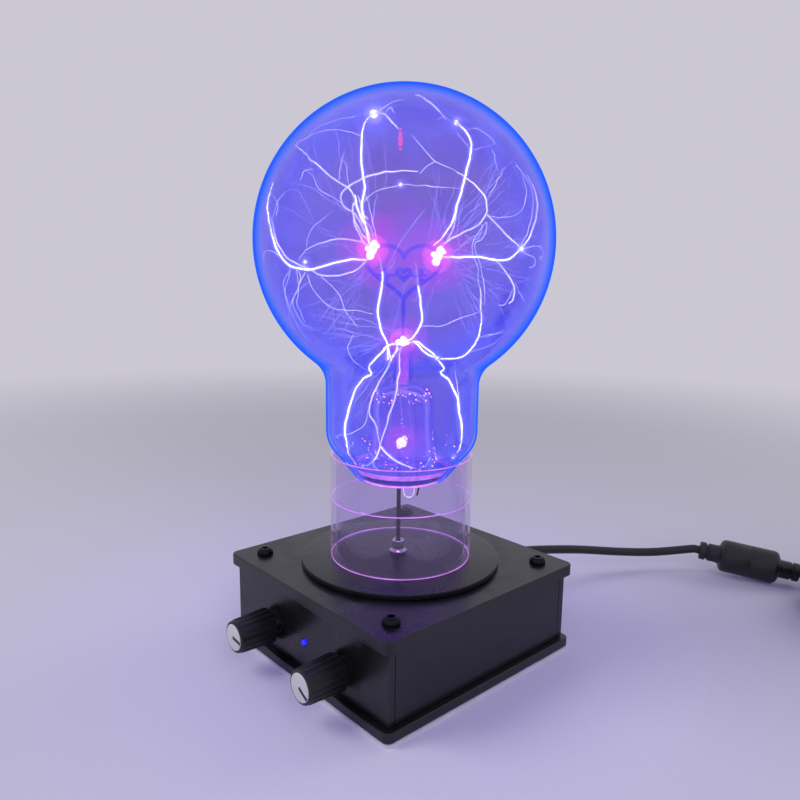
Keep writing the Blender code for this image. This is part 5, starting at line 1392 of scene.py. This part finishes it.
class TRANSFORMER_OT_controls(Operator):
    """Make both knobs with their caps and pointers, and the indicator lens."""
    bl_idname = "transformer.controls"
    bl_label = "Controls"

    def execute(self, context):
        chosen = settings("controls")
        for label, body, turn in (("left", "left_control", chosen.left_pointer),
                                  ("right", "right_control", chosen.right_pointer)):
            self.knob(label, body, turn, chosen)
        self.lens()
        return {"FINISHED"}

    def knob(self, label, body, turn, chosen):
        """Tapered knob with grip ribs, a rounded face edge, a pale cap and a dark pointer line."""
        low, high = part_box("knob_" + label)
        centre = Vector(((low.x + high.x) / 2, high.y, (low.z + high.z) / 2))
        length, edge, bore = chosen.knob_length, 0.8 * MM, 3.1 * MM
        back, face = chosen.knob_radius - 0.7 * MM, chosen.knob_face_radius - 0.25 * MM
        slope = (back - face) / length
        seat = length - 0.55 * MM
        profile = [(bore, seat), (5.5 * MM, seat), (5.55 * MM, length - 0.06 * MM)]
        profile += arc((face - edge + 0.05 * MM, length - edge), edge, math.pi / 2, slope, 6)
        profile += [(face + slope * length * 0.5, length * 0.5), (back, 0.5 * MM), (back - 0.3 * MM, 0),
                    (5.2 * MM, 0), (5.0 * MM, 0.2 * MM), (5.0 * MM, 3 * MM), (bore, 3 * MM)]
        body_mesh = lathe("knob_body", profile, 96, joined=True)
        rib = self.rib(chosen, length)
        ribs = grown("ribs", rib, round_tree, Count=chosen.ribs, Radius=back - 0.2 * MM, Start=0.0,
                     Material=finish("knob"))
        mesh = merged("ribbed_knob_" + label, [body_mesh, ribs])
        mesh.shade_smooth()
        mesh.set_sharp_from_angle(angle=math.radians(40))
        place = stand(centre, (0, -1, 0))
        put("ribbed_knob_" + label, moved(mesh, place), body, ["knob"], ["knob_" + label])
        cap_low, cap_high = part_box("knob_cap_" + label)
        cap, rise = (cap_high.x - cap_low.x) / 2 - 0.5 * MM, cap_high.y - cap_low.y
        soft = 0.35 * MM
        profile = [(0, rise)] + arc((cap - soft, rise - soft), soft, math.pi / 2, 0, 4)
        profile += [(cap, 0), (0, 0)]
        profile = [(r, z - 0.04 * MM if z > 0.1 * MM else z) for r, z in profile]
        disc = lathe("knob_face_" + label, profile, 96)
        disc = moved(disc, stand((centre.x, cap_high.y, centre.z), (0, -1, 0)))
        put("knob_face_" + label, disc, body, ["cap"], ["knob_cap_" + label])
        line = rounded_block("knob_pointer_" + label, (-0.75 * MM, -0.06 * MM, -0.3 * MM),
                             (0.75 * MM, 0.1 * MM, cap - 0.1 * MM), 0.05 * MM, 2)
        place = Matrix.Translation((centre.x, cap_low.y + 0.06 * MM, centre.z))
        line.transform(place @ Matrix.Rotation(turn, 4, "Y"))
        put("knob_pointer_" + label, line, body, ["pointer"])

    def rib(self, chosen, length):
        """One grip rib, standing along Z at X 0, lower and narrower towards the face."""
        fall = chosen.knob_radius - chosen.knob_face_radius
        shape = bmesh.new()
        size = Matrix.Diagonal((1.2 * MM, 1.05 * MM, length * 0.88, 1))
        bmesh.ops.create_cube(shape, size=1, matrix=Matrix.Translation((0.3 * MM, 0, length * 0.47)) @ size)
        for corner in shape.verts:
            corner.co.x -= fall * corner.co.z / length
            if corner.co.x > 0:
                corner.co.y *= 0.62
        bmesh.ops.bevel(shape, geom=shape.edges[:], offset=0.18 * MM, segments=2, profile=0.5, affect="EDGES")
        return meshed("rib", shape, outward=False)

    def lens(self):
        """Round-topped indicator lens with its flange behind the panel."""
        low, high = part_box("indicator_led")
        flange = (high.x - low.x) / 2
        length = high.y - low.y
        dome = 1.3 * MM
        profile = arc((0, length - dome), dome, math.pi / 2, 0, 10)
        profile[0] = (0, length)
        profile += [(dome, 0.9 * MM), (flange - 0.1 * MM, 0.9 * MM), (flange, 0.8 * MM), (flange, 0), (0, 0)]
        middle = (low + high) / 2
        mesh = moved(lathe("indicator_lens", profile, 48), stand((middle.x, high.y, middle.z), (0, -1, 0)))
        put("indicator_lens", mesh, "box", ["lens"], ["indicator_led"])


class TRANSFORMER_OT_bulb(Operator):
    """Blow the bulb: its glass, the glowing gas, the stem, the exhaust tube and the lead wires."""
    bl_idname = "transformer.bulb"
    bl_label = "Globe bulb"

    def execute(self, context):
        chosen = settings("bulb")
        outer, inner = bulb_profile(0), bulb_profile(chosen.glass_thickness)
        in_bulb("blown_bulb", lathe("blown_bulb", outer + inner[::-1], 128), "bulb glass", ["bulb_glass"])
        for name, inset, outset, floor, look in (("gas_outer", 1.8, 0.5, 3.2, "outer gas"),
                                                 ("gas_inner", 9, 1.6, 11, "inner gas")):
            in_bulb(name, gas_shell(name, inset * MM, outset * MM, MOUTH_Z + floor * MM), look)
        self.stem()
        self.exhaust()
        self.wire()
        self.heart()
        self.seal()
        return {"FINISHED"}

    def stem(self):
        """Flared stem whose foot is sealed to the bulb's mouth, with the light in its pinch."""
        column = [up(FLARE_TOP_Z + 1 * MM), up(PINCH_TOP_Z - 0.3 * MM)]
        in_bulb("pinch_light", sweep("pinch_light", column, [2.3 * MM] * 2, 24), "pinch glow")
        inside = WAIST_RADIUS - FLARE_GLASS
        profile = stem_profile(0)
        profile.append((FLARE_RADIUS - FLARE_GLASS, MOUTH_Z))
        profile += bend(profile[-1], (inside, MOUTH_Z + WAIST_RADIUS / 2), (inside, FLARE_SHOULDER_Z), 10)
        profile += bend(profile[-1], (inside, FLARE_TOP_Z), (0, FLARE_TOP_Z), 10)
        in_bulb("drawn_stem", lathe("drawn_stem", profile), "stem glass", ["bulb_stem"])

    def exhaust(self):
        """Exhaust tube that leaves the flare to one side, swells near its end and is melted shut."""
        offset, radius, steps = 3.4 * MM, 1.8 * MM, 6
        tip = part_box("exhaust_tube")[0].z
        fall = FLARE_TOP_Z - tip
        shares = ((0.3, 0.02, 1), (0.45, 0.2, 1), (0.85, 0.42, 1), (1, 0.6, 1), (1, 0.8, 1.05),
                  (1, 0.88, 1.32), (1, 0.95, 1.32), (1, 0.98, 1.05), (1, 1, 0.4))
        points, radii = [], []
        for first, second in zip(shares, shares[1:]):
            for step in range(steps):
                out, down, wide = [a + (b - a) * eased(step / steps) for a, b in zip(first, second)]
                points.append(SIDEWAYS * offset * out + up(FLARE_TOP_Z - fall * down))
                radii.append(radius * wide)
        points.append(SIDEWAYS * offset + up(tip))
        radii.append(radius * 0.3)
        in_bulb("sealed_exhaust", sweep("sealed_exhaust", points, radii, 24), "stem glass", ["exhaust_tube"])

    def wire(self):
        """Thin lead-in wire that hangs beside the exhaust tube."""
        reach = 6.8 * MM
        fall = FLARE_TOP_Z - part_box("exhaust_tube")[0].z
        shares = ((0.72, 0.12), (0.84, 0.25), (0.92, 0.33), (0.9, 0.42), (0.98, 0.7), (1.05, 0.87),
                  (1.12, 0.91), (1.02, 0.98))
        route = [SIDEWAYS * reach * out + up(FLARE_TOP_Z - fall * down) for out, down in shares]
        line = smooth_through(route, 1 * MM)
        put("lead_in_wire", sweep("lead_in_wire", line, [0.4 * MM] * len(line)), "bulb", ["lead wire"],
            ["lead_wire"])

    def heart(self):
        """Heart-shaped band bent from flat steel, with a small plain heart and two bars on a cross wire."""
        low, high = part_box("heart_electrode")
        drop = 1 * MM
        height = high.z - low.z + drop
        parts = [self.heart_band(32 * MM, height, 0, 1.7 * MM, 1.0 * MM),
                 self.heart_band(7.2 * MM, 6.0 * MM, 8.2 * MM, 1.9 * MM, 0.8 * MM)]
        for x in (-7.2 * MM, 7.2 * MM):
            parts.append(rounded_block("bar", (x - 1.0 * MM, -0.4 * MM, 8.6 * MM),
                                       (x + 1.0 * MM, 0.4 * MM, 14 * MM), 0.3 * MM))
        for left, right in ((-11.6 * MM, -3.2 * MM), (3.2 * MM, 11.6 * MM)):
            parts.append(rounded_block("bar", (left, -0.3 * MM, 10.2 * MM),
                                       (right, 0.3 * MM, 11.5 * MM), 0.25 * MM))
        place = Matrix.Translation(up(HEART_FOOT_Z - drop)) @ Matrix.Rotation(VIEW_AZIMUTH, 4, "Z")
        mesh = moved(merged("bent_heart", parts), place)
        put("bent_heart", mesh, "bulb", ["steel with painted glow"], ["heart_electrode"])
        route = [up(HEART_FOOT_Z - fall * MM) for fall in (0, 1.5, 4.5, 8, 11)]
        radii = [0.9 * MM, 1 * MM, 0.9 * MM, 0.65 * MM, 0.45 * MM]
        put("heart_neck", sweep("heart_neck", route, radii, 16), "bulb", ["steel with painted glow"])

    def heart_band(self, wide, height, foot, band, thick):
        """Closed band along a heart in the XZ plane, rounded on its edges."""
        outline, count = [], 120
        for index in range(count):
            t = math.tau * index / count
            lift = 13 * math.cos(t) - 5 * math.cos(2 * t) - 2 * math.cos(3 * t) - math.cos(4 * t)
            outline.append(Vector((math.sin(t) ** 3 * (wide / 2 - band / 2), 0,
                                   foot + band / 2 + (lift + 17) / 29 * (height - band))))
        shape = bmesh.new()
        rings = []
        for index, point in enumerate(outline):
            ahead = (outline[(index + 1) % count] - outline[index - 1]).normalized()
            if index in (0, count // 2):
                ahead = Vector((1 if index == 0 else -1, 0, 0))
            across = Vector((ahead.z, 0, -ahead.x))
            ring = []
            for c, s in ring_of(12):
                u = math.copysign(abs(c) ** 0.5, c) * band / 2
                v = math.copysign(abs(s) ** 0.5, s) * thick / 2
                ring.append(shape.verts.new(point + across * u + Vector((0, v, 0))))
            rings.append(ring)
        skin(shape, rings + rings[:1])
        return meshed("heart_band", shape)

    def seal(self):
        """The fused foot of the stem: pink light above, a dim band and a bright line at the mouth."""
        for name, low, high, inset in (("seal_glow", 3.4, 5.6, 1.5), ("seal_band", 0.7, 3.1, 1.4)):
            outer, inner = [self.between(bulb_profile(depth * MM), MOUTH_Z + low * MM, MOUTH_Z + high * MM)
                            for depth in (inset, inset + 0.5)]
            in_bulb(name, lathe(name, outer + inner[::-1], 128, joined=True), name.replace("_", " "))
        ring = bead_ring("seal_line", MOUTH_RADIUS - 0.35 * MM, MOUTH_Z + 0.35 * MM, 0.3 * MM, 10, 128)
        in_bulb("seal_line", ring, "seal line")

    def between(self, profile, low, high):
        """The part of a falling profile between two heights."""
        steps = 8
        levels = [high + (low - high) * i / steps for i in range(steps + 1)]
        return [(radius_at(profile, level), level) for level in levels]


class TRANSFORMER_OT_discharge(Operator):
    """Draw the discharge: traced threads with their glow, faint wisps, pink glows, stars and the hot spot."""
    bl_idname = "transformer.discharge"
    bl_label = "Discharge"

    def execute(self, context):
        chosen = settings("bulb")
        full = chosen.filament_width
        paths = [(width * full, deep_path(points, start, end)) for width, start, end, points in THREADS]
        bright = [path for path in paths if path[0] > 0.9 * full]
        soft = [path for path in paths if 0.5 * full < path[0] <= 0.9 * full]
        pale = [(width * 1.5, path) for width, path in paths if width <= 0.5 * full]
        wisps = [path for path in wisp_paths(chosen.wisps, chosen.seed, full) if len(path[1]) > 3]
        wander = chosen.filament_wander
        for name, which, look, swell, sides, stray in (
                ("discharge_threads", bright, "thread", 1.0, 8, wander),
                ("soft_threads", soft, "soft thread", 1.0, 8, wander),
                ("thread_glow", bright + soft, "thread glow", 2.8, 8, wander),
                ("thread_halo", bright, "faint glow", 6, 10, wander),
                ("pale_threads", pale, "thin thread", 1.0, 8, wander),
                ("wisps", wisps, "wisp", 1.0, 6, 2 * wander)):
            mesh = grown(name, paths_mesh(name, which), thread_tree, Wander=stray, Seed=float(chosen.seed),
                         Swell=swell, Sides=sides, Material=finish(look))
            in_bulb(name, mesh, look)
        self.glows(chosen.seed)
        return {"FINISHED"}

    def glows(self, seed):
        """Round glows in nested shells: pink at the lobes and the pinch, small bursts, and the hot spot."""
        lobes = [on_upright(*lobe, nearer=1.5 * MM) for lobe in LOBES]
        pinch = up(PINCH_TOP_Z - 1 * MM)
        near_pinch = pinch + TOWARD * (PINCH_RADIUS + 1 * MM)
        spot = ROD_TOP + SIDEWAYS * 0.9 * MM + TOWARD * 4 * MM + up(1.4 * MM)
        hearts = []
        for place, marks in ((lobes[0], LOBE_MARKS), (lobes[1], LOBE_MARKS), (near_pinch, PINCH_MARKS),
                             (spot, SPOT_MARKS)):
            hearts += [(place + SIDEWAYS * across * MM + up(rise * MM), size * MM)
                       for across, rise, size in marks]
        glow = shells(lobes + [pinch], (6.6, 6.6, 5.6), (0.36, 0.56, 0.78, 1)) + shells([spot], [1], (4, 7))
        haze = shells(lobes + [pinch], (15, 15, 11), (0.4, 0.6, 0.8, 1)) + shells([spot], [1], (9, 13))
        behind_heart = sum(lobes, Vector()) / 2 - TOWARD * 19 * MM
        cloud = shells([behind_heart + up(rise * MM) for rise in (-9, 7)], (1, 1), (7, 11, 14, 17))
        stars = [(in_depth(x, y, share), width * 0.6 * MM) for x, y, share, width in STARS]
        halos, far_halos = [[(place, width * swell) for place, width in stars for swell in swells]
                            for swells in ((1.4, 1.9, 2.5), (3.3, 4.2, 5.5))]
        sparks = [(in_depth(SPARK_X, y, 0.9), size * MM) for y, size in SPARKS]
        for name, places, look in (
                ("glitter", glitter_specks(seed + 1), "glitter"), ("lobe_hearts", hearts, "pink core"),
                ("pink_glow", glow, "pink glow"), ("pink_haze", haze, "pink haze"),
                ("heart_cloud", cloud, "heart cloud"), ("stars", stars, "thread"),
                ("star_glow", halos, "thread glow"), ("star_halo", far_halos, "faint glow"),
                ("orange_sparks", sparks, "orange spark"), ("hot_spot", [(spot, 2.1 * MM)], "hot spot")):
            points, widths = zip(*places)
            base = widths_mesh(name + "_points", points, [], widths)
            in_bulb(name, grown(name, base, spot_tree, Swell=1.0, Material=finish(look)), look)


class TRANSFORMER_OT_stage(Operator):
    """Set the plain pale floor, the soft lights and the bulb's own light."""
    bl_idname = "transformer.stage"
    bl_label = "Stage"

    def execute(self, context):
        chosen = settings("stage")
        scene = context.scene
        scene.view_settings.view_transform = "Standard"
        scene.cycles.transparent_max_bounces = 48
        self.floor(tuple(chosen.floor))
        self.world(tuple(chosen.floor))
        for place, size, share in (((-0.55, -0.75, 0.85), 0.7, 1), ((0.75, -0.35, 0.55), 0.6, 0.35),
                                   ((0.3, 0.9, 0.6), 0.6, 0.3)):
            lamp = self.lamp("softbox", "AREA", place, energy=chosen.key * share, shape="DISK", size=size)
            lamp.rotation_euler = (up(0.08) - Vector(place)).to_track_quat("-Z", "Y").to_euler()
        lamp = self.lamp("bulb_light", "POINT", (0, 0, GLOBE_Z), energy=chosen.glow, color=tone("#8A6CFF"),
                         shadow_soft_size=30 * MM, use_shadow=False)
        lamp.visible_transmission = False
        return {"FINISHED"}

    def lamp(self, name, kind, place, **values):
        """A lamp that neither the camera nor a mirror sees."""
        data = bpy.data.lights.new(name, kind)
        for key, value in values.items():
            setattr(data, key, value)
        lamp = bpy.data.objects.new(name, data)
        lamp.location = place
        lamp.visible_camera = lamp.visible_glossy = False
        bpy.context.scene.collection.objects.link(lamp)
        return lamp

    def floor(self, colour):
        """Round floor sheet that fades into the backdrop's colour well away from the part."""
        profile = [(0, 0)] + [(0.02 * index ** 1.6 + 0.05, 0) for index in range(24)]
        profile += [(profile[-1][0], -1 * MM), (0, -1 * MM)]
        mesh = lathe("studio_floor", profile)
        item = bpy.data.objects.new("studio_floor", mesh)
        bpy.context.scene.collection.objects.link(item)
        material, tree, where = shader_tree("matt painted board")
        speckle = noise(tree, where, 1.5 * MM)
        tint = scaled(tree, colour, ramp(tree, speckle, 0, 1, 0.97, 1.03))
        paint = add(tree, "ShaderNodeBsdfPrincipled", {
            "Base Color": tint, "Roughness": 0.7, "Normal": bump(tree, speckle, 0.03 * MM, 0.3)})
        far = add(tree, "ShaderNodeVectorMath", {0: where}, operation="LENGTH").outputs["Value"]
        share = ramp(tree, far, 0.38, 1.0, smooth=True)
        surface(tree, over(tree, share, paint, light(tree, colour, 1)))
        mesh.materials.append(material)

    def world(self, colour):
        """Pale backdrop for the camera, mirrors and glass, and a softer light on the part."""
        scene = bpy.context.scene
        scene.world = scene.world or bpy.data.worlds.new("studio")
        scene.world.use_nodes = True
        tree = scene.world.node_tree
        tree.nodes.clear()
        path = add(tree, "ShaderNodeLightPath").outputs
        seen = calc(tree, "ADD", path["Is Camera Ray"], path["Is Glossy Ray"])
        seen = calc(tree, "ADD", seen, path["Is Transmission Ray"], clamp=True)
        shown, soft = [add(tree, "ShaderNodeBackground", {"Color": shade, "Strength": strength})
                       for shade, strength in ((colour, 1.0), (tone("#E9E8F0"), 0.35))]
        add(tree, "ShaderNodeOutputWorld", {"Surface": over(tree, seen, soft, shown)})


STEPS = (
    TRANSFORMER_OT_camera, TRANSFORMER_OT_lead, TRANSFORMER_OT_case, TRANSFORMER_OT_tube,
    TRANSFORMER_OT_controls, TRANSFORMER_OT_bulb, TRANSFORMER_OT_discharge, TRANSFORMER_OT_stage)
GROUPS = {
    "bulb": TRANSFORMER_PG_bulb, "controls": TRANSFORMER_PG_controls, "lead": TRANSFORMER_PG_lead,
    "case": TRANSFORMER_PG_case, "stage": TRANSFORMER_PG_stage}


class TRANSFORMER_PT_panel(Panel):
    """Sizes and colours of the transformer, and the steps that make it."""
    bl_idname = "TRANSFORMER_PT_panel"
    bl_label = "Resonant transformer"
    bl_space_type = "VIEW_3D"
    bl_region_type = "UI"
    bl_category = "Transformer"

    def draw(self, context):
        for name in GROUPS:
            box = self.layout.box()
            box.label(text=name.capitalize())
            group = settings(name)
            for label in group.bl_rna.properties.keys():
                if label not in ("rna_type", "name"):
                    box.prop(group, label)
        for step in STEPS:
            self.layout.operator(step.bl_idname)


CLASSES = (*GROUPS.values(), *STEPS, TRANSFORMER_PT_panel)


def register():
    """Register the classes and hang the property groups on the scene."""
    for one in CLASSES:
        bpy.utils.register_class(one)
    for name, group in GROUPS.items():
        setattr(bpy.types.Scene, "transformer_" + name, PointerProperty(type=group))


def unregister():
    """Take the property groups and the classes away again."""
    for name in GROUPS:
        delattr(bpy.types.Scene, "transformer_" + name)
    for one in reversed(CLASSES):
        bpy.utils.unregister_class(one)


def main():
    """Make every piece in order."""
    register()
    bpy.ops.transformer.camera()
    bpy.ops.transformer.lead()
    bpy.ops.transformer.case()
    bpy.ops.transformer.tube()
    bpy.ops.transformer.controls()
    bpy.ops.transformer.bulb()
    bpy.ops.transformer.discharge()
    bpy.ops.transformer.stage()


if __name__ == "__main__":
    main()
